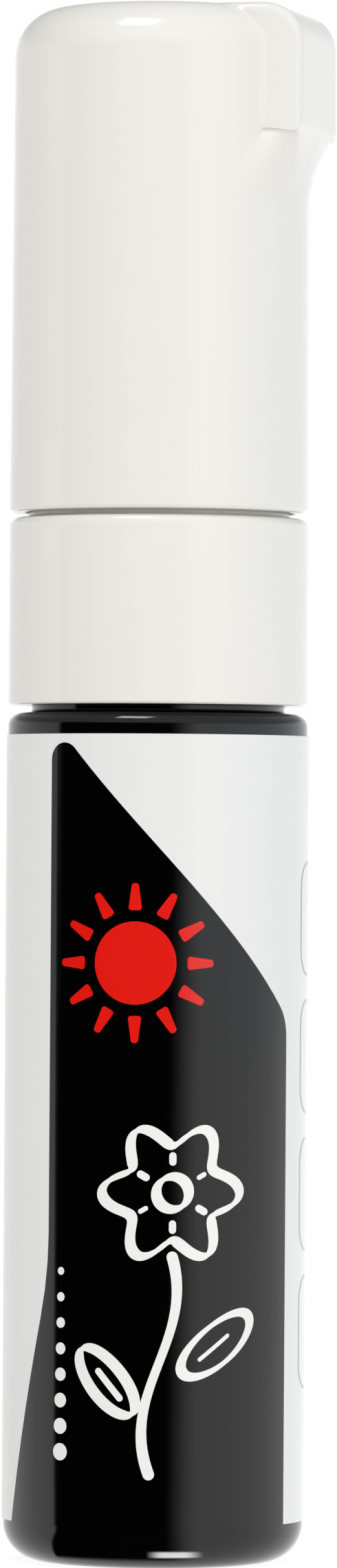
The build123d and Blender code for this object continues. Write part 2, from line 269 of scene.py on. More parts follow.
@dataclass(frozen=True)
class BrightSteel(Finish):
    """Stainless steel, drawn or polished: clear metal with fine scratches that spread its gloss."""

    scratch_mm: float = 0.12
    scratch_depth_mm: float = 0.002
    gloss_spread: float = 0.07

    def pattern(self, tree: bpy.types.NodeTree, shader: bpy.types.Node) -> None:
        """Adds the scratches.

        Args:
            tree: the material's node tree.
            shader: its Principled shader.
        """
        shader.inputs["Metallic"].default_value = 1.0
        place = add_node(tree, "ShaderNodeTexCoord").outputs["Object"]
        scratch = add_node(
            tree, "ShaderNodeTexNoise", {"Vector": place, "Scale": 1 / (self.scratch_mm * MM), "Detail": 4.0}
        )
        gloss = add_node(
            tree,
            "ShaderNodeMapRange",
            {0: scratch.outputs[0], 3: self.roughness - self.gloss_spread, 4: self.roughness + self.gloss_spread},
        )
        tree.links.new(gloss.outputs[0], shader.inputs["Roughness"])
        relief = add_node(
            tree,
            "ShaderNodeBump",
            {"Height": scratch.outputs[0], "Strength": 0.6, "Distance": self.scratch_depth_mm * MM},
        )
        tree.links.new(relief.outputs[0], shader.inputs["Normal"])


# Glossy injection-moulded polypropylene, warm white: a clear but soft gloss, with painted shade in its narrow gaps
WHITE_POLYPROPYLENE = SmoothSheet(
    "white_polypropylene", "#ECEAE3", roughness=0.13, ior=1.49, second_colour="#EFEDE7", cloud_mm=14.0,
    ripple_mm=5.0, ripple_depth_mm=0.004, gloss_spread=0.02, painted_crevice_shade="#E4E0D6",
)
# Black blow-moulded polypropylene: deep black with a sharp gloss
BLACK_POLYPROPYLENE = SmoothSheet(
    "black_polypropylene", "#020202", roughness=0.09, ior=1.49, second_colour="#040404", cloud_mm=14.0,
    ripple_mm=4.0, ripple_depth_mm=0.003, gloss_spread=0.02,
)
# Biaxially drawn polypropylene film: white, with a varnish that mirrors the studio
LABEL_FILM = SmoothSheet(
    "label_film", "#FEFEFC", roughness=0.11, second_colour="#FFFFFE", cloud_mm=18.0,
    ripple_mm=6.0, ripple_depth_mm=0.004, gloss_spread=0.02,
)
# Flexographic inks under the same varnish: flat, even colours with a clear gloss
VARNISH = {"ripple_mm": 6.0, "ripple_depth_mm": 0.003, "gloss_spread": 0.02}
BLACK_INK = SmoothSheet("black_ink", "#010101", roughness=0.09, second_colour="#030303", cloud_mm=16.0, **VARNISH)
RED_INK = SmoothSheet("red_ink", "#E2150B", roughness=0.11, second_colour="#E81A0F", cloud_mm=12.0, **VARNISH)
WHITE_INK = SmoothSheet("white_ink", "#F2F1EC", roughness=0.12, second_colour="#F6F5F1", cloud_mm=12.0, **VARNISH)
GREY_INK = SmoothSheet("grey_ink", "#9B9B9D", roughness=0.12, second_colour="#A4A4A5", cloud_mm=12.0, **VARNISH)
# Low-density polyethylene of the inner cap: waxy and milky
LINER_POLYETHYLENE = SmoothSheet(
    "liner_polyethylene", "#E4E5E2", roughness=0.34, ior=1.51, second_colour="#EAEBE8", cloud_mm=9.0,
    ripple_mm=2.0, ripple_depth_mm=0.006, gloss_spread=0.05,
)
# Acetal of the valve: ivory, satin from the mould
VALVE_ACETAL = SmoothSheet(
    "valve_acetal", "#DEDACC", roughness=0.3, ior=1.48, second_colour="#E4E0D4", cloud_mm=6.0,
    ripple_mm=1.5, ripple_depth_mm=0.005, gloss_spread=0.05,
)
# Nitrile rubber of the seals: dark grey and matt
NITRILE_RUBBER = SmoothSheet(
    "nitrile_rubber", "#262627", roughness=0.62, ior=1.52, second_colour="#303031", cloud_mm=3.0,
    ripple_mm=0.5, ripple_depth_mm=0.012, gloss_spread=0.08,
)
# Pressed polyester felt of the nib, not yet inked: fibrous and matt
NIB_FELT = PressedFelt("nib_felt", "#F1EFE6", roughness=0.92)
# Drawn stainless wire of the spring, and the polished steel of the mixing balls: bright grey metal
SPRING_STEEL = BrightSteel("spring_steel", "#C3C2BE", roughness=0.26)
BALL_STEEL = BrightSteel(
    "ball_steel", "#CFCFCE", roughness=0.14, scratch_mm=0.3, scratch_depth_mm=0.001, gloss_spread=0.04
)


def rounded_outline(
    corners: Sequence[tuple[float, float, float]], closed: bool = False, step: float = math.radians(7.0)
) -> np.ndarray:
    """Runs an outline through corners and gives each its round.

    Args:
        corners: two coordinates and the round of each corner.
        closed: whether the last corner joins the first.
        step: turn of the outline from one point of a round to the next.

    Returns:
        The outline's points, one in each row.
    """
    places = np.array([corner[:2] for corner in corners], float)
    points: list[np.ndarray] = []
    for index, (place, (*_, radius)) in enumerate(zip(places, corners)):
        is_end = not closed and index in (0, len(corners) - 1)
        if is_end or radius == 0:
            points.append(place)
            continue
        back = places[index - 1] - place
        ahead = places[(index + 1) % len(places)] - place
        back /= np.linalg.norm(back)
        ahead /= np.linalg.norm(ahead)
        opening = math.acos(max(-1.0, min(1.0, float(back @ ahead))))
        middle = (back + ahead) / np.linalg.norm(back + ahead)
        centre = place + middle * radius / math.sin(opening / 2)
        reach = radius / math.tan(opening / 2)
        first, last = place + back * reach - centre, place + ahead * reach - centre
        turn = math.pi - opening
        count = max(2, math.ceil(turn / step))
        for share in np.linspace(0.0, 1.0, count + 1):
            weights = math.sin((1 - share) * turn), math.sin(share * turn)
            points.append(centre + (first * weights[0] + last * weights[1]) / math.sin(turn))
    return np.array(points)


def new_object(name: str, data: bpy.types.ID) -> bpy.types.Object:
    """Puts an object into the scene.

    Args:
        name: its name.
        data: its mesh, lamp or camera.

    Returns:
        The object, at the origin.
    """
    made = bpy.data.objects.new(name, data)
    bpy.context.scene.collection.objects.link(made)
    return made


def new_piece(
    name: str, points: np.ndarray, faces: Sequence[Sequence[int]], sharp_deg: float = SHARP_DEG
) -> bpy.types.Object:
    """Makes a closed, smooth-shaded mesh object whose faces point outwards.

    Args:
        name: name of the piece.
        points: vertices in millimetres.
        faces: vertex numbers of each face.
        sharp_deg: edges that bend by more stay sharp.

    Returns:
        The object, at the origin.
    """
    mesh = bpy.data.meshes.new(name)
    mesh.from_pydata((np.asarray(points) * MM).tolist(), [], [list(face) for face in faces])
    work = bmesh.new()
    work.from_mesh(mesh)
    bmesh.ops.remove_doubles(work, verts=work.verts, dist=MERGE_DISTANCE)
    bmesh.ops.recalc_face_normals(work, faces=work.faces)
    work.to_mesh(mesh)
    work.free()
    mesh.shade_smooth()
    mesh.set_sharp_from_angle(angle=math.radians(sharp_deg))
    return new_object(name, mesh)


def quads(rows: int, places: int, is_loop: bool, is_round: bool = True) -> list[Sequence[int]]:
    """Faces of a grid of points.

    Args:
        rows: number of rows.
        places: number of points in each row.
        is_loop: whether the last row joins the first.
        is_round: whether the last point of each row joins its first.

    Returns:
        Vertex numbers of each face.
    """
    return [
        (
            row * places + place,
            row * places + (place + 1) % places,
            (row + 1) % rows * places + (place + 1) % places,
            (row + 1) % rows * places + place,
        )
        for row in range(rows if is_loop else rows - 1)
        for place in range(places if is_round else places - 1)
    ]


def skin(name: str, rows: np.ndarray, closing: Closing, sharp_deg: float = SHARP_DEG) -> bpy.types.Object:
    """Makes a mesh of rows of points that each run once round the axis.

    Args:
        name: name of the piece.
        rows: points in millimetres, by row and by place in the row.
        closing: whether the end rows are closed by points on the axis or meet each other.
        sharp_deg: edges that bend by more stay sharp.

    Returns:
        The object.
    """
    count, around = rows.shape[:2]
    points = rows.reshape(-1, 3)
    faces = quads(count, around, closing is Closing.LOOP)
    if closing is Closing.POLES:
        for row in (0, count - 1):
            pole = len(points)
            points = np.vstack([points, rows[row].mean(axis=0)])
            faces += [(pole, row * around + place, row * around + (place + 1) % around) for place in range(around)]
    return new_piece(name, points, faces, sharp_deg)


def ring(radius: Union[float, np.ndarray], height: Union[float, np.ndarray], angles: np.ndarray) -> np.ndarray:
    """One row of points round the axis, at a radius and height that are the same all round or one for each angle."""
    return np.column_stack([radius * np.cos(angles), radius * np.sin(angles), np.broadcast_to(height, angles.shape)])


def turned(name: str, outline: np.ndarray, closing: Closing, segments: int = 192) -> bpy.types.Object:
    """Turns an outline of radii and heights in millimetres round the axis."""
    angles = np.linspace(0.0, 2 * math.pi, segments, endpoint=False)
    return skin(name, np.array([ring(radius, height, angles) for radius, height in outline]), closing)


def applied(piece: bpy.types.Object) -> bpy.types.Object:
    """Turns a piece's modifiers into its plain mesh.

    Args:
        piece: object with modifiers.

    Returns:
        The same object, with none left.
    """
    graph = bpy.context.evaluated_depsgraph_get()
    mesh = bpy.data.meshes.new_from_object(piece.evaluated_get(graph), depsgraph=graph)
    piece.modifiers.clear()
    piece.data = mesh
    return piece


def finish_piece(
    piece: bpy.types.Object, finish: Finish, body: Body, nodes: Sequence[str] = ()
) -> bpy.types.Object:
    """Gives a piece its finish, its body and the CAD nodes that it stands for.

    Args:
        piece: the finished mesh object.
        finish: its material.
        body: CAD body that it rides on.
        nodes: CAD nodes that it replaces.

    Returns:
        The piece.
    """
    piece.data.materials.clear()
    piece.data.materials.append(finish.material())
    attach(piece, body.value)
    if nodes:
        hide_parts(*nodes)
    log.info("%s: %d faces, %s, on %s", piece.name, len(piece.data.polygons), finish.name, body.value)
    return piece


def dress_node(node: str, finish: Finish) -> None:
    """Gives a CAD node that stays in view a better material.

    Args:
        node: name of the CAD node.
        finish: its material.
    """
    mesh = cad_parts[node].data
    mesh.materials.clear()
    mesh.materials.append(finish.material())
    log.info("%s: CAD node, %s", node, finish.name)


@dataclass
class Barrel:
    """Black bottle with a dished base, a rounded shoulder and a neck with a snap groove."""

    radius: float = 13.5
    height: float = 76.4
    base_round: float = 3.5
    shoulder_round: float = 1.2
    dish_radius: float = 8.4
    dish_depth: float = 0.5
    dish_root: float = 0.25
    dish_edge: float = 0.2
    wall: float = 1.3
    floor: float = 2.2
    neck_radius: float = 11.4
    neck_bore: float = 9.7
    neck_top: float = 87.4
    neck_edge: float = 0.4
    neck_root: float = 0.3
    bore_edge: float = 0.2
    groove_level: float = 81.4
    groove_height: float = 1.4
    groove_depth: float = 0.5
    groove_edge: float = 0.1
    groove_root: float = 0.15
    shoulder_wall: float = 2.0
    roof_edge: float = 0.5
    roof_root: float = 1.0
    segments: int = 256

    def build(self) -> None:
        """Turns the bottle's outline, outside and inside."""
        cavity = self.radius - self.wall
        roof = self.height - self.shoulder_wall
        groove = self.neck_radius - self.groove_depth
        low_groove, high_groove = (self.groove_level + side * self.groove_height / 2 for side in (-1, 1))
        outline = rounded_outline(
            [
                (POLE_GAP, self.dish_depth, 0),
                (self.dish_radius, self.dish_depth, self.dish_root),
                (self.dish_radius, 0, self.dish_edge),
                (self.radius, 0, self.base_round),
                (self.radius, self.height, self.shoulder_round),
                (self.neck_radius, self.height, self.neck_root),
                (self.neck_radius, low_groove, self.groove_edge),
                (groove, low_groove, self.groove_root),
                (groove, high_groove, self.groove_root),
                (self.neck_radius, high_groove, self.groove_edge),
                (self.neck_radius, self.neck_top, self.neck_edge),
                (self.neck_bore, self.neck_top, self.bore_edge),
                (self.neck_bore, roof, self.roof_edge),
                (cavity, roof - cavity + self.neck_bore, self.roof_root),
                (cavity, self.floor, self.base_round - self.wall),
                (POLE_GAP, self.floor, 0),
            ]
        )
        self.bottle = turned("barrel_bottle", outline, Closing.POLES, self.segments)

    def dress(self) -> None:
        """Gives the bottle its plastic."""
        finish_piece(self.bottle, BLACK_POLYPROPYLENE, Body.BARREL, ["barrel"])


@dataclass
class Label:
    """Film round the barrel and the print on it.

    Places on it are a pair: arc to the right of the photograph's middle line, and height.
    """

    inner: float = 13.5
    outer: float = 13.62
    low: float = 3.8
    high: float = 74.4
    seam: float = 0.4
    seam_angle: float = math.pi / 2
    film_places: int = 257
    film_rows: int = 9
    print_depth: float = 0.012
    print_overlap: float = 0.02
    strip: float = 0.75  # widest flat strip of a patch that follows the round of the barrel
    near: float = 1e-4  # points of the flat print that are nearer each other become one
    cut_reach: float = 1e-5
    panel_left: float = -10.4
    panel_foot: float = -16.2
    panel_right: float = 14.0
    panel_high: float = 76.0
    panel_low: float = 49.0
    panel_waist: float = 26.0
    panel_rounds: tuple[float, float, float] = (4.0, 1.5, 30.0)  # of its right, its upper and its waist corner
    sun_place: Pair = (-1.9, 54.0)
    sun_radius: float = 3.7
    sun_points: int = 96
    ray_count: int = 12
    ray_ends: Pair = (4.7, 7.1)
    ray_halves: Pair = (0.62, 0.3)  # half widths at these ends
    ray_round: float = 0.26
    chisel_angle: float = math.radians(35.0)  # at which the nib of the strokes is held
    stroke_end_points: int = 13
    bloom_place: Pair = (1.6, 33.6)
    bloom_radius: float = 5.3
    bloom_wave: float = 0.2  # share of the radius
    bloom_points: int = 240
    petal_count: int = 6
    petal_line: Pair = (2.75, 3.3)  # its ends, from the middle of the bloom
    eye_radius: float = 1.45
    eye_stride: int = 5  # points of the bloom's circle for one of the eye's
    stem: tuple[Pair, Pair, Pair, Pair] = ((1.6, 27.9), (3.8, 20.5), (-3.2, 16.0), (-0.4, 8.6))
    leaves: tuple[tuple[Pair, Pair], ...] = (((2.6, 17.6), (9.0, 22.6)), ((-1.9, 14.0), (-6.6, 19.6)))
    leaf_half: float = 0.21  # share of its length
    leaf_points: int = 72
    vein_ends: Pair = (0.24, 0.66)  # shares of the leaf's length
    dot_place: Pair = (-8.9, 26.5)
    dot_count: int = 8
    dot_points: int = 28
    dot_spacing: float = 2.3
    dot_radius: float = 0.35
    dot_growth: float = 0.06
    frame_levels: tuple[float, ...] = (58.0, 45.6, 33.2, 20.8)
    frame_sides: Pair = (17.2, 27.2)
    frame_half: float = 5.0
    frame_round: float = 2.2
    frame_line: float = 0.3
    pieces: dict[str, bpy.types.Object] = field(default_factory=dict)

    def build(self) -> None:
        """Makes the film, then each colour of print."""
        self.pieces["film"] = self._film()
        self.pieces["black"] = self._patch("label_print_black", [self._panel()], 1)
        self.pieces["red"] = self._patch("label_print_red", self._sun(), 2)
        self.pieces["white"] = self._patch("label_print_white", self._flower() + self._dots(), 2)
        self.pieces["grey"] = self._patch("label_print_grey", self._frames(), 1)

    def dress(self) -> None:
        """Gives the film and the inks their finishes."""
        inks = {"black": BLACK_INK, "red": RED_INK, "white": WHITE_INK, "grey": GREY_INK}
        finish_piece(self.pieces["film"], LABEL_FILM, Body.BARREL, ["barrel_label"])
        for name, ink in inks.items():
            finish_piece(self.pieces[name], ink, Body.BARREL)

    def _film(self) -> bpy.types.Object:
        """Makes the sheet of film, open at its seam.

        Returns:
            The piece.
        """
        half_gap = self.seam / 2 / self.outer
        start, end = self.seam_angle + half_gap, self.seam_angle + 2 * math.pi - half_gap
        angles = np.linspace(start, end, self.film_places)
        levels = np.linspace(self.low, self.high, self.film_rows)
        outline = [(self.outer, level) for level in levels] + [(self.inner, level) for level in levels[::-1]]
        rows = np.array([ring(radius, level, angles) for radius, level in outline])
        count, along = rows.shape[:2]
        faces = quads(count, along, is_loop=True, is_round=False)
        faces += [[row * along + end for row in range(count)] for end in (0, along - 1)]
        return new_piece("label_film", rows.reshape(-1, 3), faces)

    def _patch(self, name: str, shapes: Sequence[np.ndarray], layer: int) -> bpy.types.Object:
        """Wraps flat shapes round the label as thin closed patches of ink.

        Args:
            name: name of the piece.
            shapes: outlines in the label's own places.
            layer: number of the ink in the stack of inks.

        Returns:
            The piece.
        """
        flat = bmesh.new()
        for shape in shapes:
            flat.faces.new([flat.verts.new((across, height, 0.0)) for across, height in shape])
        bmesh.ops.remove_doubles(flat, verts=flat.verts, dist=self.near)
        spread = [vertex.co.x for vertex in flat.verts]
        for cut in np.arange(math.ceil(min(spread) / self.strip) * self.strip, max(spread), self.strip):
            whole = flat.verts[:] + flat.edges[:] + flat.faces[:]
            bmesh.ops.bisect_plane(flat, geom=whole, dist=self.cut_reach, plane_co=(cut, 0, 0), plane_no=(1, 0, 0))
        raised = bmesh.ops.extrude_face_region(flat, geom=flat.faces[:])["geom"]
        for vertex in raised:
            if isinstance(vertex, bmesh.types.BMVert):
                vertex.co.z = 1.0
        flat.verts.index_update()
        points = []
        for vertex in flat.verts:
            radius = self.outer + (layer * self.print_depth if vertex.co.z else -self.print_overlap)
            turn = vertex.co.x / self.outer
            points.append((FRONT * math.cos(turn) + RIGHT * math.sin(turn)) * radius + UP * vertex.co.y)
        faces = [[vertex.index for vertex in face.verts] for face in flat.faces]
        flat.free()
        return new_piece(name, np.array(points), faces)

    def _panel(self) -> np.ndarray:
        """Outline of the slate panel: a slanted top, and a side that widens to the foot.

        Returns:
            The outline's points.
        """
        right_round, high_round, waist_round = self.panel_rounds
        return rounded_outline(
            [
                (self.panel_foot, self.low, 0),
                (self.panel_right, self.low, 0),
                (self.panel_right, self.panel_low, right_round),
                (self.panel_left, self.panel_high, high_round),
                (self.panel_left, self.panel_waist, waist_round),
            ],
            closed=True,
        )

    @staticmethod
    def _circle(count: int) -> np.ndarray:
        """Points of a circle whose radius is 1, one in each row."""
        turns = np.linspace(0.0, 2 * math.pi, count, endpoint=False)
        return np.column_stack([np.cos(turns), np.sin(turns)])

    def _sun(self) -> list[np.ndarray]:
        """Outlines of a sun: a disc, and rays that each taper outwards.

        Returns:
            The outlines.
        """
        middle = np.array(self.sun_place)
        shapes = [middle + self.sun_radius * self._circle(self.sun_points)]
        (start, end), (foot, tip) = self.ray_ends, self.ray_halves
        for turn in np.linspace(0.0, 2 * math.pi, self.ray_count, endpoint=False):
            way = np.array([math.cos(turn), math.sin(turn)])
            across = np.array([-way[1], way[0]])
            places = ((start, -foot), (end, -tip), (end, tip), (start, foot))
            corners = [way * reach + across * half for reach, half in places]
            shapes.append(rounded_outline([(*(middle + corner), self.ray_round) for corner in corners], closed=True))
        return shapes

    def _stroke(
        self, line: np.ndarray, closed: bool = False, fine: float = 0.42, broad: float = 1.05
    ) -> list[np.ndarray]:
        """Outlines of a stroke drawn with a chisel nib held at one angle.

        Args:
            line: points of its middle line.
            closed: whether the line's end meets its start.
            fine: width across the nib's edge.
            broad: width along the nib's edge.

        Returns:
            The stroke's quads, and the round ends of an open line.
        """
        ways = np.roll(line, -1, axis=0) - np.roll(line, 1, axis=0) if closed else np.gradient(line, axis=0)
        ways /= np.linalg.norm(ways, axis=1)[:, None]
        heading = np.arctan2(ways[:, 1], ways[:, 0])
        half = (fine + (broad - fine) * np.abs(np.sin(heading - self.chisel_angle)))[:, None] / 2
        across = np.column_stack([-ways[:, 1], ways[:, 0]])
        left, right = line + across * half, line - across * half
        last = len(line) if closed else len(line) - 1
        after = [(place + 1) % len(line) for place in range(last)]
        shapes = [np.array([right[p], right[n], left[n], left[p]]) for p, n in zip(range(last), after)]
        if not closed:
            swing = np.linspace(-math.pi / 2, math.pi / 2, self.stroke_end_points)[:, None]
            for place, side in ((0, -1), (-1, 1)):
                end = ways[place] * np.cos(swing) + across[place] * np.sin(swing)
                shapes.append(line[place] + half[place] * side * end)
        return shapes

    def _flower(self) -> list[np.ndarray]:
        """Quads of a flower in chisel strokes: bloom, eye, petal lines, stem and two leaves.

        Returns:
            The quads, and the round ends of open strokes.
        """
        bloom = np.array(self.bloom_place)
        turns = np.linspace(0.0, 2 * math.pi, self.bloom_points, endpoint=False)
        circle = self._circle(self.bloom_points)
        rim = self.bloom_radius * (1 + self.bloom_wave * np.cos(self.petal_count * turns))[:, None] * circle
        eye = self.eye_radius * circle[:: self.eye_stride]
        shapes = self._stroke(bloom + rim, closed=True) + self._stroke(bloom + eye, closed=True)
        for petal in range(self.petal_count):
            turn = math.pi / self.petal_count + petal * 2 * math.pi / self.petal_count
            way = np.array([math.cos(turn), math.sin(turn)])
            shapes += self._stroke(bloom + np.linspace(*self.petal_line, 5)[:, None] * way, fine=0.4, broad=0.7)
        share = np.linspace(0.0, 1.0, 50)[:, None]
        stem = [np.array(place) for place in self.stem]
        shapes += self._stroke(
            (1 - share) ** 3 * stem[0]
            + 3 * (1 - share) ** 2 * share * stem[1]
            + 3 * (1 - share) * share**2 * stem[2]
            + share**3 * stem[3]
        )
        for root, tip in self.leaves:
            base, reach = np.array(root), np.array(tip) - np.array(root)
            side = np.array([-reach[1], reach[0]]) * self.leaf_half
            swing = np.linspace(0.0, 2 * math.pi, self.leaf_points, endpoint=False)[:, None]
            shapes += self._stroke(base + reach * (1 - np.cos(swing)) / 2 + side * np.sin(swing), closed=True)
            shapes += self._stroke(base + reach * np.linspace(*self.vein_ends, 8)[:, None], fine=0.35, broad=0.6)
        return shapes

    def _dots(self) -> list[np.ndarray]:
        """Outlines of a column of dots that grow downwards, on the left of the panel.

        Returns:
            The outlines.
        """
        across, high = self.dot_place
        circle = self._circle(self.dot_points)
        return [
            np.array([across, high - self.dot_spacing * step]) + circle * (self.dot_radius + self.dot_growth * step)
            for step in range(self.dot_count)
        ]

    def _frames(self) -> list[np.ndarray]:
        """Quads of four plain frames in fine line, one over the other, on the right of the panel.

        Returns:
            The quads.
        """
        shapes = []
        left, right = self.frame_sides
        for middle in self.frame_levels:
            low, high = middle - self.frame_half, middle + self.frame_half
            corners = [(left, low), (right, low), (right, high), (left, high)]
            outline = rounded_outline([(*corner, self.frame_round) for corner in corners], closed=True)
            shapes += self._stroke(outline, True, fine=self.frame_line, broad=self.frame_line)
        return shapes


@dataclass
class Valve:
    """Valve between barrel and nib: housing, stem, plug, seals and spring."""

    neck_radius: float = 11.4
    gasket_edge: float = 0.4
    gasket_bore: float = 9.7
    gasket_low: float = 87.4
    gasket_high: float = 88.2
    seal_radius: float = 3.7
    seal_bore: float = 1.5
    seal_low: float = 85.5
    seal_high: float = 86.5
    rubber_round: float = 0.22
    rubber_step: float = math.radians(20.0)
    rubber_segments: int = 128
    spring_foot: float = 72.0
    spring_low: float = 72.3
    spring_climb: float = 11.4
    spring_radius: float = 2.7
    wire_radius: float = 0.25
    wire_steps: int = 48  # in each turn
    wire_sides: int = 16
    spring_turns: float = 5.0
    spring_travel: float = 2.5

    def build(self) -> None:
        """Makes the seals and winds the spring."""
        gasket_radius = self.neck_radius - self.gasket_edge
        self.gasket = self._washer(
            "neck_gasket_rubber", self.gasket_bore, gasket_radius, self.gasket_low, self.gasket_high
        )
        self.seal = self._washer("stem_seal_rubber", self.seal_bore, self.seal_radius, self.seal_low, self.seal_high)
        self.spring = self._wind()

    def dress(self) -> None:
        """Gives each piece of the valve its finish, and gives the spring a mesh of its own."""
        finish_piece(self.gasket, NITRILE_RUBBER, Body.BARREL, ["neck_gasket"])
        finish_piece(self.seal, NITRILE_RUBBER, Body.VALVE, ["stem_seal"])
        finish_piece(self.spring, SPRING_STEEL, Body.BARREL, ["valve_spring"])
        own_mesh(self.spring)
        for node in ("valve_housing", "valve_stem", "spring_plug"):
            dress_node(node, VALVE_ACETAL)

    def _washer(self, name: str, bore: float, radius: float, low: float, high: float) -> bpy.types.Object:
        """Turns a flat washer with soft edges.

        Args:
            name: name of the piece.
            bore: radius of its hole.
            radius: radius of its rim.
            low: its lower face.
            high: its upper face.

        Returns:
            The piece.
        """
        corners = [(bore, low), (radius, low), (radius, high), (bore, high)]
        rounded = [(*corner, self.rubber_round) for corner in corners]
        outline = rounded_outline(rounded, closed=True, step=self.rubber_step)
        return turned(name, outline, Closing.LOOP, self.rubber_segments)

    def _wind(self) -> bpy.types.Object:
        """Winds the spring's wire along a helix with Geometry Nodes.

        Returns:
            The spring as a plain mesh.
        """
        tree = bpy.data.node_groups.new("wound_spring", "GeometryNodeTree")
        tree.interface.new_socket("Geometry", in_out="OUTPUT", socket_type="NodeSocketGeometry")
        values = {
            "Turns": self.spring_turns,
            "Coil radius": self.spring_radius * MM,
            "Wire radius": self.wire_radius * MM,
            "Climb": self.spring_climb * MM,
            "Level": self.spring_low * MM,
        }
        sockets = {
            name: tree.interface.new_socket(name, in_out="INPUT", socket_type="NodeSocketFloat").identifier
            for name in values
        }
        sizes = add_node(tree, "NodeGroupInput").outputs
        helix = add_node(
            tree,
            "GeometryNodeCurveSpiral",
            {
                "Resolution": self.wire_steps,
                "Rotations": sizes["Turns"],
                "Start Radius": sizes["Coil radius"],
                "End Radius": sizes["Coil radius"],
                "Height": sizes["Climb"],
            },
        )
        section = add_node(
            tree, "GeometryNodeCurvePrimitiveCircle", {"Resolution": self.wire_sides, "Radius": sizes["Wire radius"]}
        )
        wire = add_node(
            tree,
            "GeometryNodeCurveToMesh",
            {"Curve": helix.outputs[0], "Profile Curve": section.outputs[0], "Fill Caps": True},
        )
        lift = add_node(tree, "ShaderNodeCombineXYZ", {"Z": sizes["Level"]})
        placed = add_node(tree, "GeometryNodeTransform", {"Geometry": wire.outputs[0], "Translation": lift.outputs[0]})
        smooth = add_node(tree, "GeometryNodeSetShadeSmooth", {"Geometry": placed.outputs[0]})
        plain = add_node(tree, "GeometryNodeRealizeInstances", {"Geometry": smooth.outputs[0]})
        steel = add_node(
            tree, "GeometryNodeSetMaterial", {"Geometry": plain.outputs[0], "Material": SPRING_STEEL.material()}
        )
        add_node(tree, "NodeGroupOutput", {"Geometry": steel.outputs[0]})
        spring = new_object("valve_spring_wire", bpy.data.meshes.new("valve_spring_wire"))
        modifier = spring.modifiers.new("wound_spring", "NODES")
        modifier.node_group = tree
        for name, value in values.items():
            modifier[sockets[name]] = value
        return applied(spring)


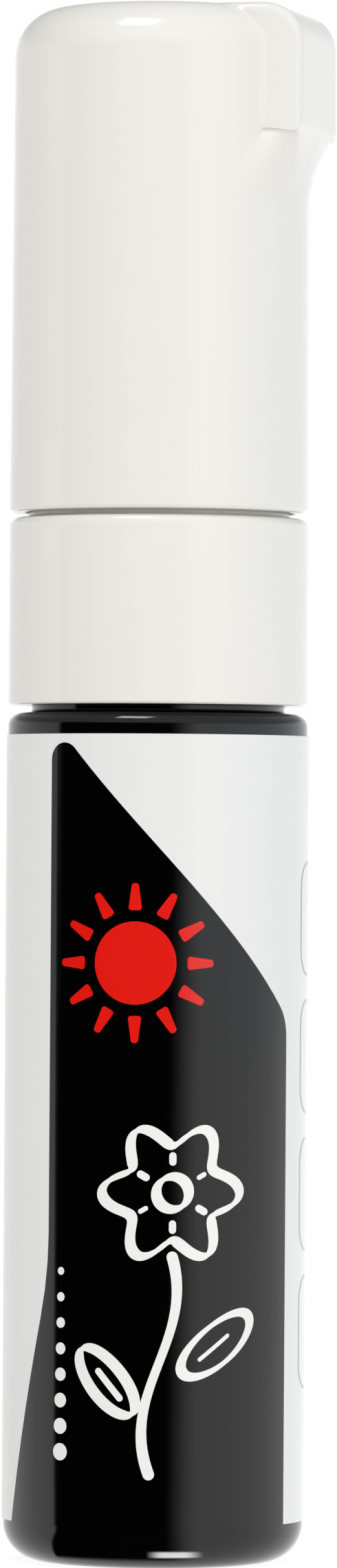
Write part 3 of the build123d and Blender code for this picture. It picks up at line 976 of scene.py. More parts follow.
@dataclass
class FrontEnd:
    """White front section with its ring, cap seat and nose, and the felt nib in its channel."""

    radius: float = 13.5
    ring_low: float = 77.1
    ring_high: float = 94.0
    ring_low_round: float = 0.3
    ring_high_round: float = 0.8
    seat_radius: float = 11.8
    seat_high: float = 104.0
    seat_edge: float = 0.4
    seat_root: float = 0.2
    bead_radius: float = 12.0
    bead_level: float = 97.5
    bead_height: float = 1.6
    bead_round: float = 0.8
    bead_root: float = 1.0
    seal_radius: float = 9.0
    seal_high: float = 110.0
    seal_root: float = 0.3
    nose_high: float = 119.0
    nose_radius: float = 6.44
    nose_round: float = 0.5
    nose_land: float = 1.2
    lip: float = 0.25  # round of the channel's mouth
    socket_radius: float = 11.5
    socket_edge: float = 0.2
    socket_root: float = 0.2
    snap_radius: float = 11.0
    snap_level: float = 81.4
    snap_height: float = 1.2
    snap_round: float = 0.1
    flange_high: float = 89.4
    chamber_radius: float = 9.6
    chamber_high: float = 97.9
    chamber_round: float = 0.5
    chamber_edge: float = 0.2
    roof_radius: float = 6.8
    channel_rows: Pair = (6.0, 12.0)  # depths of the rows of points between its mouth and its end
    segments: int = 256
    nib_width: float = 8.0
    nib_depth: float = 6.0
    nib_corner: float = 0.7
    nib_least_corner: float = 0.12
    nib_corner_step: float = math.radians(18.0)
    nib_flat_steps: int = 10
    nib_low: float = 96.0
    nib_low_round: float = 0.3
    nib_high: float = 129.5
    nib_slant: float = 4.0
    nib_round: float = 0.5
    nib_rows: int = 14
    nib_row_gaps: Pair = (1.0, 2.0)  # of these rows, from the low end and from the slant
    nib_end_insets: tuple[float, ...] = (1.0, 1.5, 2.0, 2.5)
    nib_sharp_deg: float = 60.0
    slide: float = 0.1
    halvings: int = 40  # of the span in which the channel's wall is sought

    def build(self) -> None:
        """Makes the holder and the nib."""
        self.holder = self._holder()
        self.nib = self._nib()

    def dress(self) -> None:
        """Gives the holder its plastic and the nib its felt."""
        finish_piece(self.holder, WHITE_POLYPROPYLENE, Body.BARREL, ["front_holder"])
        finish_piece(self.nib, NIB_FELT, Body.NIB, ["nib"])

    def _holder(self) -> bpy.types.Object:
        """Makes the holder as one closed skin, with a channel of four sides for the nib.

        Returns:
            The piece.
        """
        bead = self.bead_height / 2
        snap = self.snap_height / 2
        roof = self.chamber_high + self.chamber_radius - self.roof_radius
        outside = rounded_outline(
            [
                (self.socket_radius, self.snap_level - snap, 0),
                (self.socket_radius, self.ring_low, self.socket_edge),
                (self.radius, self.ring_low, self.ring_low_round),
                (self.radius, self.ring_high, self.ring_high_round),
                (self.seat_radius, self.ring_high, self.seat_root),
                (self.seat_radius, self.bead_level - bead, self.bead_root),
                (self.bead_radius, self.bead_level, self.bead_round),
                (self.seat_radius, self.bead_level + bead, self.bead_root),
                (self.seat_radius, self.seat_high, self.seat_edge),
                (self.seal_radius, self.seat_high, self.seal_root),
                (self.seal_radius, self.seal_high, self.nose_round),
                (self.nose_radius, self.nose_high, self.nose_round),
                (self.nose_radius - self.nose_land, self.nose_high, 0),
            ]
        )
        inside = rounded_outline(
            [
                (self.roof_radius, roof, 0),
                (self.chamber_radius, self.chamber_high, self.chamber_round),
                (self.chamber_radius, self.flange_high, self.chamber_edge),
                (self.socket_radius, self.flange_high, self.socket_root),
                (self.socket_radius, self.snap_level + snap, self.snap_round),
                (self.snap_radius, self.snap_level, self.snap_round),
                (self.socket_radius, self.snap_level - snap, 0),
            ]
        )
        angles = np.linspace(0.0, 2 * math.pi, self.segments, endpoint=False)
        channel = self._channel(angles)
        rows = [ring(radius, level, angles) for radius, level in outside[:-1]]
        for lean in np.linspace(0.0, math.pi / 2, 5):
            level = self.nose_high - self.lip * (1 - math.cos(lean))
            rows.append(ring(channel + self.lip * (1 - math.sin(lean)), level, angles))
        levels = [self.nose_high - depth for depth in self.channel_rows] + [roof]
        rows += [ring(channel, level, angles) for level in levels]
        rows += [ring(radius, level, angles) for radius, level in inside[:-1]]
        return skin("front_holder_shell", np.array(rows), Closing.LOOP)

    def _channel(self, angles: np.ndarray) -> np.ndarray:
        """Radius of the nib's channel in each direction.

        Args:
            angles: directions from +X.

        Returns:
            The radii.
        """
        across, deep = self.nib_width / 2 + self.slide, self.nib_depth / 2 + self.slide
        corner = self.nib_corner + self.slide
        low, high = np.zeros_like(angles), np.full_like(angles, across + deep)
        for _ in range(self.halvings):
            middle = (low + high) / 2
            over_x = np.maximum(np.abs(middle * np.cos(angles)) - across + corner, 0)
            over_y = np.maximum(np.abs(middle * np.sin(angles)) - deep + corner, 0)
            inside = np.hypot(over_x, over_y) < corner
            low, high = np.where(inside, middle, low), np.where(inside, high, middle)
        return low

    def _nib(self) -> bpy.types.Object:
        """Makes the chisel nib in rows of its four-sided section, with softened edges and a slanted end.

        Returns:
            The piece.
        """
        rows = []
        half_width = self.nib_width / 2

        def section(inset: float, level: float, is_slanted: bool) -> np.ndarray:
            """One row of the nib, drawn in from its full section.

            Args:
                inset: how far it is drawn in.
                level: its height at the high side.
                is_slanted: whether it follows the chisel cut.

            Returns:
                The points.
            """
            width, depth = half_width - inset, self.nib_depth / 2 - inset
            round_left = max(self.nib_corner - inset, self.nib_least_corner)
            corners = [(width, -depth), (width, depth), (-width, depth), (-width, -depth)]
            rounded = [(*corner, round_left) for corner in corners]
            outline = rounded_outline(rounded, closed=True, step=self.nib_corner_step)
            fine = [
                outline[place] + (outline[(place + 1) % len(outline)] - outline[place]) * share
                for place in range(len(outline))
                for share in np.linspace(0.0, 1.0, self._steps(place, len(outline)), endpoint=False)
            ]
            points = np.array(fine)
            drop = self.nib_slant * (half_width - points[:, 0]) / self.nib_width if is_slanted else 0.0
            return np.column_stack([points, np.broadcast_to(level - drop, len(points))])

        for lean in np.linspace(0.0, math.pi / 2, 4):
            level = self.nib_low + self.nib_low_round * (1 - math.cos(lean))
            rows.append(section(self.nib_low_round * (1 - math.sin(lean)), level, False))
        first, last = self.nib_low + self.nib_row_gaps[0], self.nib_high - self.nib_slant - self.nib_row_gaps[1]
        for level in np.linspace(first, last, self.nib_rows):
            rows.append(section(0.0, level, False))
        for lean in np.linspace(0.0, math.pi / 2, 6):
            level = self.nib_high - self.nib_round * (1 - math.sin(lean))
            rows.append(section(self.nib_round * (1 - math.cos(lean)), level, True))
        for inset in self.nib_end_insets:
            rows.append(section(inset, self.nib_high, True))
        return skin("nib_felt_bar", np.array(rows), Closing.POLES, self.nib_sharp_deg)

    def _steps(self, place: int, count: int) -> int:
        """How finely a run of the nib's section is divided: the flats more than the corners."""
        return self.nib_flat_steps if (place + 1) % (count // 4) == 0 else 1


@dataclass
class Cap:
    """White cap with its lug and the slope below it, the ribs inside, and the liner that seals the nib."""

    radius: float = 13.5
    end_radius: float = 13.25
    mouth: float = 94.5
    top: float = 140.0
    top_round: float = 4.3
    mouth_round: float = 0.4
    mouth_rim: float = 1.0  # height of the lowest row of points over the mouth
    bore: float = 12.1
    bore_edge: float = 0.3
    inner_top: float = 138.0
    inner_round: float = 2.6
    lug_reach: float = 14.65
    lug_width: float = 13.4  # at its lower edge
    lug_high_width: float = 12.9  # at its upper edge
    lug_root: float = 7.0
    lug_round: float = 3.6
    lug_low: float = 128.3
    lug_edge: float = 0.75
    lug_least_edge: float = 0.3  # share of that round which is left at its foot
    lug_low_round: float = 3.0
    lug_low_cut: float = 1.5  # how much of that rounding the underside cuts off
    lug_under_tilt: float = 0.1
    lug_flare: float = 0.16  # how its walls spread towards the cap
    lug_flare_length: float = 4.0
    valley: float = 0.6  # reach of the round between the lug and the cap
    least_valley: float = 0.03  # share of it which is left at the lug's ends
    slope_low: float = 122.2
    slope_reach: float = 14.24
    slope_overlap: float = 0.1  # how far it runs on behind the foot of the lug
    slope_crest: Pair = (9.0, 13.0)  # half angle of its full height at its foot, and what that gains upwards
    slope_side: Pair = (47.0, -14.0)  # half angle where it ends, and what that gains upwards
    slope_flat: float = math.radians(45.0)  # half angle over which its crest is flat
    slope_power: float = 1.5  # of its rise, which makes it hollow
    centre_level: float = 133.0  # from where the rays to the rounded top start
    flat_ray: Pair = (8.0, 24.0)  # span in which a level ray's end is sought
    steep_ray: Pair = (2.0, 24.0)  # span in which a rising ray's end is sought
    halvings: int = 48  # of these spans
    least_turn: float = 0.05
    wall_span: tuple[float, float, float] = (17.0, 37.0, 0.3)  # degrees from the lug's middle, and their step
    face_span: tuple[float, float, int] = (-16.0, 16.0, 27)  # degrees between the walls, and their number
    back_span: tuple[float, float, int] = (38.5, 321.5, 126)
    side_rows: tuple[float, int] = (0.9, 14)  # gap at the slope, and number of rows
    slope_rows: tuple[float, float, int] = (0.3, 1.3, 20)  # gaps at slope and lug, and number of rows
    # heights from the lug's lower edge, and number of rows
    lug_rows: tuple[tuple[float, float, int], ...] = ((-1.1, -0.2, 7), (-0.15, 0.8, 40), (0.9, 2.4, 8))
    panel_rows: tuple[float, int] = (2.8, 4)  # gap at that edge, and number of rows up to the rays' start
    tilt_gaps: Pair = (2.0, 1.3)  # from the slope's foot and the lug's edge, where rows take the tilt
    top_leans: tuple[tuple[float, float, int], ...] = ((2.0, 10.0, 5), (11.0, 39.0, 43), (42.0, 88.0, 9))
    sharp_deg: float = 55.0
    rib_count: int = 6
    rib_thickness: float = 1.0
    rib_low: float = 110.0
    rib_high: float = 135.4
    rib_lead: float = 0.8
    rib_root: float = 0.3  # how deep it stands in the wall
    liner_radius: float = 9.9
    liner_bore: float = 9.1
    liner_low: float = 104.0
    liner_inner_top: float = 137.0
    liner_round: float = 0.8
    liner_inner_round: float = 0.6
    liner_edge: float = 0.25
    liner_lead: float = 0.35

    def build(self) -> None:
        """Makes the shell, its ribs and the liner."""
        self.shell = self._shell()
        self.ribs = self._ribs()
        corners = [
            (POLE_GAP, self.inner_top, 0),
            (self.liner_radius, self.inner_top, self.liner_round),
            (self.liner_radius, self.liner_low, self.liner_edge),
            (self.liner_bore, self.liner_low, self.liner_lead),
            (self.liner_bore, self.liner_inner_top, self.liner_inner_round),
            (POLE_GAP, self.liner_inner_top, 0),
        ]
        self.liner = turned("cap_liner_cup", rounded_outline(corners), Closing.POLES)

    def dress(self) -> None:
        """Gives the shell, the ribs and the liner their plastics."""
        finish_piece(self.shell, WHITE_POLYPROPYLENE, Body.CAP, ["cap_shell"])
        finish_piece(self.ribs, WHITE_POLYPROPYLENE, Body.CAP)
        finish_piece(self.liner, LINER_POLYETHYLENE, Body.CAP, ["cap_liner"])

    def _slope(self, angle: np.ndarray, height: np.ndarray) -> np.ndarray:
        """How far the slope under the lug stands out from the cap.

        Args:
            angle: direction from the lug's middle.
            height: level.

        Returns:
            The distance along a radius.
        """
        turn = np.abs(angle)
        rise = np.clip((height - self.slope_low) / (self.lug_low + self.slope_overlap - self.slope_low), 0, 1)
        start, end = (np.radians(foot + gain * rise**2) for foot, gain in (self.slope_crest, self.slope_side))
        fade = np.clip((end - turn) / (end - start), 0, 1)
        crest = self.slope_reach / np.cos(np.minimum(turn, self.slope_flat)) - self.end_radius
        return crest * fade**2 * (3 - 2 * fade) * rise**self.slope_power

    def _outside(self, x: np.ndarray, y: np.ndarray, z: np.ndarray) -> np.ndarray:
        """Distance from the cap's outer surface, below zero inside.

        Args:
            x: coordinate along the lug.
            y: coordinate across it.
            z: height.

        Returns:
            The distance, near the surface.
        """
        side = self.radius + (self.end_radius - self.radius) * (z - self.mouth) / (self.top - self.mouth)
        spread = np.hypot(x, y)
        cup = self._corner(spread - side + self.top_round, z - self.top + self.top_round) - self.top_round
        is_high = z > (self.lug_low + self.top) / 2
        corner = np.where(is_high, self.lug_round, self.lug_low_round)
        floor = self.lug_low + self._under_rise(np.arctan2(y, x))
        over_z = np.where(is_high, z - self.top, floor - self.lug_low_cut - z) + corner
        side_view = self._corner(x - self.lug_reach + corner, over_z) - corner
        share = np.clip((z - self.lug_low) / (self.top - self.lug_low), 0, 1)
        half = (self.lug_width + (self.lug_high_width - self.lug_width) * share) / 2
        over_y = np.abs(y) - half - self.lug_flare * np.clip(self.lug_reach - x, 0, self.lug_flare_length)
        edge = self.lug_edge * np.clip((z - self.lug_low) / (2 * self.lug_edge), self.lug_least_edge, 1)
        lug = self._corner(side_view + edge, over_y + edge) - edge
        lug = np.maximum(lug, np.maximum(self.lug_root - x, floor - z))
        slope = spread - side - self._slope(np.arctan2(y, x), z)
        room = np.minimum((self.top - z) / self.lug_round, (z - self.lug_low) / self.lug_edge)
        valley = self.valley * np.clip(room, self.least_valley, 1)
        return np.minimum(self._blend(cup, lug, valley), np.where(z < floor + self.slope_overlap, slope, cup))

    @staticmethod
    def _blend(first: np.ndarray, second: np.ndarray, reach: np.ndarray) -> np.ndarray:
        """Takes the lesser of two distances, with a smooth passage where they are nearer each other than reach."""
        near = np.maximum(reach - np.abs(first - second), 0) / reach
        return np.minimum(first, second) - near**2 * reach / 4

    @staticmethod
    def _corner(first: np.ndarray, second: np.ndarray) -> np.ndarray:
        """Distance from two sides that meet at a right angle, rounded outside their corner."""
        return np.hypot(np.maximum(first, 0), np.maximum(second, 0)) + np.minimum(np.maximum(first, second), 0)

    def _reach(self, angles: np.ndarray, level: Union[float, np.ndarray], lean: float) -> np.ndarray:
        """Row of points where rays from the axis leave the cap.

        Args:
            angles: directions round the axis.
            level: height where the rays start, the same all round or one for each angle.
            lean: angle of the rays above the horizon.

        Returns:
            The points.
        """
        low, high = (np.full_like(angles, end) for end in (self.steep_ray if lean else self.flat_ray))
        flat, climb = math.cos(lean), math.sin(lean)
        for _ in range(self.halvings):
            middle = (low + high) / 2
            spread = middle * flat
            gap = self._outside(spread * np.cos(angles), spread * np.sin(angles), level + middle * climb)
            low, high = np.where(gap < 0, middle, low), np.where(gap < 0, high, middle)
        return ring(low * flat, level + low * climb, angles)

    def _under_rise(self, angles: np.ndarray) -> np.ndarray:
        """How far the lug's tilted lower edge lies over its lowest line in each direction.

        Args:
            angles: directions round the axis.

        Returns:
            The heights, with one all round beyond the lug's walls.
        """
        half = self.lug_width / 2
        turn = np.abs((angles + math.pi) % (2 * math.pi) - math.pi)
        beside = half / np.tan(np.clip(turn, self.least_turn, math.pi / 2))
        reach = np.clip(beside, math.sqrt(self.end_radius**2 - half**2), self.lug_reach)
        return self.lug_under_tilt * (self.lug_reach - reach)

    def _angles(self) -> np.ndarray:
        """Directions round the cap, close together at the walls of the lug.

        Returns:
            The directions from +X, in radians.
        """
        wall = np.radians(np.arange(*self.wall_span))
        middle = np.radians(np.linspace(*self.face_span))
        rest = np.radians(np.linspace(*self.back_span))
        return np.concatenate([middle, wall, rest, 2 * math.pi - wall[::-1]])

    def _shell(self) -> bpy.types.Object:
        """Makes the shell as one closed skin, from the ceiling inside round the mouth to the top outside.

        Returns:
            The piece.
        """
        angles = self._angles()
        inside = rounded_outline(
            [
                (POLE_GAP, self.inner_top, 0),
                (self.bore, self.inner_top, self.inner_round),
                (self.bore, self.mouth, self.bore_edge),
                (self.radius, self.mouth, self.mouth_round),
                (self.radius, self.mouth + self.mouth_rim, 0),
            ]
        )
        rows = [ring(radius, level, angles) for radius, level in inside[:-1]]
        (under_slope, sides), (over_lug, panels) = self.side_rows, self.panel_rows
        over_slope, under_lug, slopes = self.slope_rows
        levels = np.concatenate(
            [
                np.linspace(self.mouth + self.mouth_rim, self.slope_low - under_slope, sides),
                np.linspace(self.slope_low - over_slope, self.lug_low - under_lug, slopes),
                *(np.linspace(self.lug_low + low, self.lug_low + high, count) for low, high, count in self.lug_rows),
                np.linspace(self.lug_low + over_lug, self.centre_level, panels),
            ]
        )
        foot, edge = self.tilt_gaps
        near = [self.slope_low + foot, self.lug_low - edge, self.lug_low + edge, self.centre_level]
        shares = np.interp(levels, near, [0.0, 1.0, 1.0, 0.0])
        rise = self._under_rise(angles)
        rows += [self._reach(angles, level + share * rise, 0.0) for level, share in zip(levels, shares)]
        leans = np.concatenate([np.linspace(*span) for span in self.top_leans])
        rows += [self._reach(angles, self.centre_level, math.radians(lean)) for lean in leans]
        return skin("cap_shell_moulding", np.array(rows), Closing.POLES, self.sharp_deg)

    def _ribs(self) -> bpy.types.Object:
        """Stands the ribs that grip the liner round the bore with Geometry Nodes.

        Returns:
            The ribs as a plain mesh.
        """
        half = self.rib_thickness / 2
        root = self.bore + self.rib_root
        side = [
            (self.liner_radius, self.rib_low + self.rib_lead),
            (self.liner_radius + self.rib_lead, self.rib_low),
            (root, self.rib_low),
            (root, self.rib_high),
            (self.liner_radius, self.rib_high),
        ]
        points = [(across, thick, level) for thick in (-half, half) for across, level in side]
        count = len(side)
        faces: list[Sequence[int]] = [list(range(count)), list(range(count, 2 * count))]
        faces += [(p, (p + 1) % count, (p + 1) % count + count, p + count) for p in range(count)]
        ribs = new_piece("cap_ribs", np.array(points), faces)
        tree = bpy.data.node_groups.new("ribs_round_axis", "GeometryNodeTree")
        tree.interface.new_socket("Geometry", in_out="OUTPUT", socket_type="NodeSocketGeometry")
        tree.interface.new_socket("Geometry", in_out="INPUT", socket_type="NodeSocketGeometry")
        count_socket = tree.interface.new_socket("Count", in_out="INPUT", socket_type="NodeSocketInt").identifier
        given = add_node(tree, "NodeGroupInput").outputs
        places = add_node(tree, "GeometryNodePoints", {"Count": given["Count"]})
        step = add_node(tree, "ShaderNodeMath", {0: 2 * math.pi, 1: given["Count"]}, operation="DIVIDE")
        number = add_node(tree, "GeometryNodeInputIndex")
        turn = add_node(tree, "ShaderNodeMath", {0: number.outputs[0], 1: step.outputs[0]}, operation="MULTIPLY")
        angle = add_node(tree, "ShaderNodeCombineXYZ", {"Z": turn.outputs[0]})
        copies = add_node(
            tree,
            "GeometryNodeInstanceOnPoints",
            {"Points": places.outputs[0], "Instance": given["Geometry"], "Rotation": angle.outputs[0]},
        )
        plain = add_node(tree, "GeometryNodeRealizeInstances", {"Geometry": copies.outputs[0]})
        moulded = add_node(
            tree,
            "GeometryNodeSetMaterial",
            {"Geometry": plain.outputs[0], "Material": WHITE_POLYPROPYLENE.material()},
        )
        add_node(tree, "NodeGroupOutput", {"Geometry": moulded.outputs[0]})
        modifier = ribs.modifiers.new("ribs_round_axis", "NODES")
        modifier.node_group = tree
        modifier[count_socket] = self.rib_count
        return applied(ribs)


@dataclass
class MixingBalls:
    """Two loose steel balls that stir the pigment."""

    nodes: tuple[str, str] = ("mixing_ball_1", "mixing_ball_2")

    def build(self) -> None:
        """The balls are the CAD model's own."""

    def dress(self) -> None:
        """Gives the balls their steel."""
        for node in self.nodes:
            dress_node(node, BALL_STEEL)


@dataclass
class Studio:
    """Pale floor, soft white surroundings with one dark side, a soft lamp, and the photograph's camera."""

    lens_mm: float = 205.8
    sensor_mm: float = 36.0
    clip: Pair = (0.01, 50.0)
    distance: float = 0.810
    eye_level: float = 0.0622
    aim_level: float = 0.07006
    aim_right: float = 0.00098
    roll: float = math.radians(0.39)
    floor_size: float = 6.0
    floor_level: float = -0.02 * MM  # a hair below the base, so that no two faces share a plane
    card_colour: str = "#ECECEA"
    card_glow: float = 1.15
    seen_share: float = 0.82  # of that glow, in what the camera sees of the floor
    lit_share: float = 0.45  # of that glow, in what lights the marker
    wall_strength: float = 1.12  # of the walls round the marker
    wall_lean: float = 0.2  # how much more the right wall gives, and less the left
    roof_strength: float = 0.58
    roof_lean: Pair = (0.15, 0.12)  # how much more the roof gives in front and on the right
    roof_edge: Pair = (0.14, 0.34)  # rise where the walls end and where the roof is full
    soft_strength: float = 0.475  # of the light that matt surfaces get from all round
    # how much more comes from in front, from behind, from the right and from above
    soft_lean: tuple[float, float, float, float] = (0.98, 0.4, 0.36, -0.3)
    white: str = "#FFFFFF"
    cool_white: str = "#F4F8FF"
    cool_edge: Pair = (0.1, 1.0)  # share to the right where the light starts to cool and where it is coolest
    # azimuths where the dark side starts and where it is full, on the left and on the right
    dark_sides: tuple[Pair, Pair] = (
        (math.radians(-84), math.radians(-80)),
        (math.radians(36), math.radians(8)),
    )
    dark_rise: Pair = (0.42, 0.22)  # up or down, where it starts and where it is full
    dark_floor: Pair = (0.0117, 0.0125)  # from the axis, where it starts and where it is full on the floor
    steep_reach: float = 8.5 * MM  # how near the base its mirror images turn steep
    bright_floor: Pair = (math.radians(40), math.radians(110))  # azimuths where the floor gets brighter
    bright_gain: float = 1.2
    # low light close to the base: from the axis and in azimuth, where it starts and is full on each side
    low_light_reach: tuple[Pair, Pair] = ((0.0124, 0.0128), (0.0139, 0.0134))
    low_light_turn: tuple[Pair, Pair] = (
        (math.radians(-3), math.radians(5)),
        (math.radians(24), math.radians(13)),
    )
    low_light_strength: float = 15.0
    lamp_azimuth: float = math.radians(-31.0)
    lamp_elevation: float = math.radians(65.0)
    lamp_distance: float = 0.75
    lamp_size: Pair = (0.24, 0.2)
    lamp_watts: float = 1.5

    def build(self) -> None:
        """Makes the floor, the lamp and the camera."""
        half = self.floor_size / 2
        mesh = bpy.data.meshes.new("studio_floor")
        corners = [(-half, -half), (half, -half), (half, half), (-half, half)]
        mesh.from_pydata([(*corner, self.floor_level) for corner in corners], [], [(0, 1, 2, 3)])
        self.floor = new_object("studio_floor", mesh)
        self._lamp()
        self._camera()

    def dress(self) -> None:
        """Gives the floor and the surroundings their light, and sets the plain view transform."""
        self._floor_finish()
        self._surroundings()
        bpy.context.scene.view_settings.view_transform = "Standard"
        log.info("studio: floor, lamp, surroundings and camera")

    def _camera(self) -> None:
        """Puts the camera where the photograph was taken from."""
        data = bpy.data.cameras.new("photo_camera")
        data.sensor_fit = "AUTO"
        data.sensor_width = self.sensor_mm
        data.lens = self.lens_mm
        data.clip_start, data.clip_end = self.clip
        camera = new_object("photo_camera", data)
        aim = RIGHT * self.aim_right + UP * self.aim_level
        camera.location = RIGHT * self.aim_right + FRONT * self.distance + UP * self.eye_level
        camera.rotation_mode = "QUATERNION"
        straight = (aim - camera.location).to_track_quat("-Z", "Y")
        camera.rotation_quaternion = straight @ Quaternion((0, 0, 1), self.roll)
        bpy.context.scene.camera = camera

    def _lamp(self) -> None:
        """Hangs the soft lamp in front of the marker, to the left and above."""
        data = bpy.data.lights.new("soft_lamp", "AREA")
        data.shape = "RECTANGLE"
        data.size, data.size_y = self.lamp_size
        data.energy = self.lamp_watts
        lamp = new_object("soft_lamp", data)
        level = FRONT * math.cos(self.lamp_azimuth) + RIGHT * math.sin(self.lamp_azimuth)
        way = level * math.cos(self.lamp_elevation) + UP * math.sin(self.lamp_elevation)
        aim = UP * self.aim_level
        lamp.location = aim + way * self.lamp_distance
        lamp.rotation_mode = "QUATERNION"
        lamp.rotation_quaternion = (-way).to_track_quat("-Z", "Y")

    def _dark_side(self, tree: bpy.types.NodeTree, angle: bpy.types.NodeSocket) -> bpy.types.NodeSocket:
        """Adds the nodes that tell the dark side of the studio, in front and to the left, from the rest.

        Args:
            tree: the tree of the floor or the surroundings.
            angle: azimuth from the camera's side.

        Returns:
            A share, 1 in the dark.
        """
        left, right = (
            add_node(
                tree, "ShaderNodeMapRange", {0: angle, 1: start, 2: full}, interpolation_type="SMOOTHSTEP"
            ).outputs[0]
            for start, full in self.dark_sides
        )
        return add_node(tree, "ShaderNodeMath", {0: left, 1: right}, operation="MULTIPLY").outputs[0]

    @staticmethod
    def _parts(tree: bpy.types.NodeTree, way: bpy.types.NodeSocket) -> list[bpy.types.NodeSocket]:
        """Adds the nodes that take a direction apart.

        Args:
            tree: the tree of the floor or the surroundings.
            way: direction from the marker.

        Returns:
            Its shares to the camera, to the right and upwards, and its azimuth from the camera's side.
        """
        ahead, aside, rise = (
            add_node(tree, "ShaderNodeVectorMath", {0: way, 1: tuple(axis)}, operation="DOT_PRODUCT").outputs[1]
            for axis in (FRONT, RIGHT, UP)
        )
        angle = add_node(tree, "ShaderNodeMath", {0: aside, 1: ahead}, operation="ARCTAN2").outputs[0]
        return [ahead, aside, rise, angle]

    def _surroundings(self) -> None:
        """Makes the world: white behind the marker, soft white round it, dark in a low band on one side."""
        world = bpy.data.worlds.new("studio_surroundings")
        bpy.context.scene.world = world
        world.use_nodes = True
        tree = world.node_tree
        tree.nodes.clear()
        ahead, aside, rise, angle = self._parts(tree, add_node(tree, "ShaderNodeTexCoord").outputs["Generated"])
        wall = add_node(
            tree, "ShaderNodeMath", {0: aside, 1: self.wall_lean, 2: self.wall_strength}, operation="MULTIPLY_ADD"
        )
        roof: Input = self.roof_strength
        for share, lean in zip((ahead, aside), self.roof_lean):
            roof = add_node(tree, "ShaderNodeMath", {0: share, 1: lean, 2: roof}, operation="MULTIPLY_ADD").outputs[0]
        level = add_node(tree, "ShaderNodeMath", {0: rise}, operation="ABSOLUTE").outputs[0]
        high, band, cool = (
            add_node(
                tree, "ShaderNodeMapRange", {0: share, 1: start, 2: full}, interpolation_type="SMOOTHSTEP"
            ).outputs[0]
            for share, (start, full) in zip((rise, level, aside), (self.roof_edge, self.dark_rise, self.cool_edge))
        )
        white = add_node(tree, "ShaderNodeMix", {0: high, 2: wall.outputs[0], 3: roof})
        dark = add_node(tree, "ShaderNodeMath", {0: self._dark_side(tree, angle), 1: band}, operation="MULTIPLY")
        mirrored = add_node(tree, "ShaderNodeMix", {0: dark.outputs[0], 2: white.outputs[0], 3: 0.0})
        facing, behind = (
            add_node(tree, "ShaderNodeMapRange", {0: ahead, 1: 0.0, 2: end}).outputs[0] for end in (1.0, -1.0)
        )
        soft: Input = self.soft_strength
        for share, lean in zip((facing, behind, aside, rise), self.soft_lean):
            soft = add_node(tree, "ShaderNodeMath", {0: share, 1: lean, 2: soft}, operation="MULTIPLY_ADD").outputs[0]
        ray = add_node(tree, "ShaderNodeLightPath")
        lit = add_node(tree, "ShaderNodeMix", {0: ray.outputs["Is Glossy Ray"], 2: soft, 3: mirrored.outputs[0]})
        strength = add_node(tree, "ShaderNodeMix", {0: ray.outputs["Is Camera Ray"], 2: lit.outputs[0], 3: 1.0})
        white_light = linear(self.white)
        hue = add_node(
            tree, "ShaderNodeMix", {0: cool, 6: white_light, 7: linear(self.cool_white)}, data_type="RGBA"
        )
        tint = add_node(
            tree,
            "ShaderNodeMix",
            {0: ray.outputs["Is Camera Ray"], 6: hue.outputs[2], 7: white_light},
            data_type="RGBA",
        )
        light = add_node(tree, "ShaderNodeBackground", {"Strength": strength.outputs[0], "Color": tint.outputs[2]})
        add_node(tree, "ShaderNodeOutputWorld", {"Surface": light.outputs[0]})

    def _floor_finish(self) -> None:
        """Makes the floor's material: matt and pale, white to the camera but for the marker's soft shadow.

        What mirrors it sees the studio's dark side go on below the horizon, and a low light close to the base.
        """
        made = bpy.data.materials.new("studio_floor_card")
        made.use_nodes = True
        tree = made.node_tree
        tree.nodes.clear()
        white_light = linear(self.white)
        card = add_node(tree, "ShaderNodeBsdfDiffuse", {"Color": linear(self.card_colour)}).outputs[0]
        glow = add_node(tree, "ShaderNodeEmission", {"Color": white_light, "Strength": self.card_glow}).outputs[0]
        seen, lit_card = (
            add_node(tree, "ShaderNodeMixShader", {0: share, 1: card, 2: glow})
            for share in (self.seen_share, self.lit_share)
        )
        place = add_node(tree, "ShaderNodeNewGeometry").outputs["Position"]
        away = add_node(tree, "ShaderNodeVectorMath", {0: place}, operation="LENGTH").outputs[1]
        angle = self._parts(tree, place)[3]
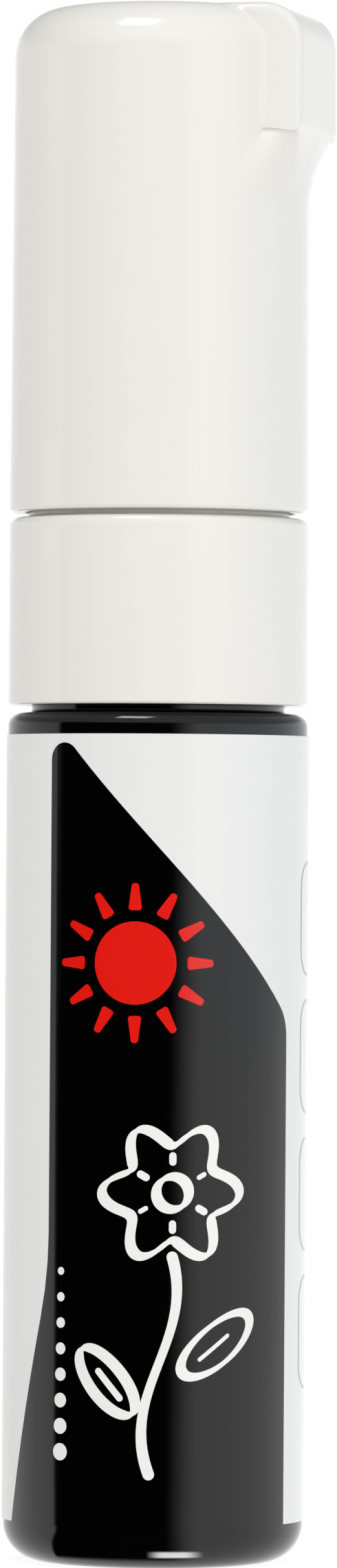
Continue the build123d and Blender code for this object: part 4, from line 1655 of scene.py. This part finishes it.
        # a steep mirror image, close to the base, turns less far with the azimuth than a level one
        steep = add_node(tree, "ShaderNodeMath", {0: self.steep_reach, 1: away}, operation="DIVIDE").outputs[0]
        turned_angle = add_node(tree, "ShaderNodeMath", {0: angle, 1: steep, 2: angle}, operation="MULTIPLY_ADD")
        edges = [(away, self.dark_floor)]
        edges += [(away, edge) for edge in self.low_light_reach] + [(angle, edge) for edge in self.low_light_turn]
        clear, patch, *others = (
            add_node(
                tree, "ShaderNodeMapRange", {0: value, 1: start, 2: full}, interpolation_type="SMOOTHSTEP"
            ).outputs[0]
            for value, (start, full) in edges
        )
        dark_side = self._dark_side(tree, turned_angle.outputs[0])
        dark = add_node(tree, "ShaderNodeMath", {0: dark_side, 1: clear}, operation="MULTIPLY")
        start, end = self.bright_floor
        bright = add_node(
            tree,
            "ShaderNodeMapRange",
            {0: angle, 1: start, 2: end, 3: self.wall_strength, 4: self.bright_gain * self.wall_strength},
        )
        strength = add_node(tree, "ShaderNodeMix", {0: dark.outputs[0], 2: bright.outputs[0], 3: 0.0})
        for share in others:
            patch = add_node(tree, "ShaderNodeMath", {0: patch, 1: share}, operation="MULTIPLY").outputs[0]
        low_light = add_node(
            tree,
            "ShaderNodeMath",
            {0: patch, 1: self.low_light_strength, 2: strength.outputs[0]},
            operation="MULTIPLY_ADD",
        )
        mirrored = add_node(tree, "ShaderNodeEmission", {"Color": white_light, "Strength": low_light.outputs[0]})
        ray = add_node(tree, "ShaderNodeLightPath")
        first = add_node(
            tree, "ShaderNodeMixShader", {0: ray.outputs["Is Camera Ray"], 1: lit_card.outputs[0], 2: seen.outputs[0]}
        )
        second = add_node(
            tree, "ShaderNodeMixShader", {0: ray.outputs["Is Glossy Ray"], 1: first.outputs[0], 2: mirrored.outputs[0]}
        )
        add_node(tree, "ShaderNodeOutputMaterial", {"Surface": second.outputs[0]})
        self.floor.data.materials.append(made)


def main() -> None:
    """Builds and dresses the marker and its studio."""
    logging.basicConfig(level=logging.INFO, format="%(name)s: %(message)s")
    for part in (Barrel(), Label(), Valve(), FrontEnd(), Cap(), MixingBalls(), Studio()):
        part.build()
        part.dress()


if __name__ == "__main__":
    main()
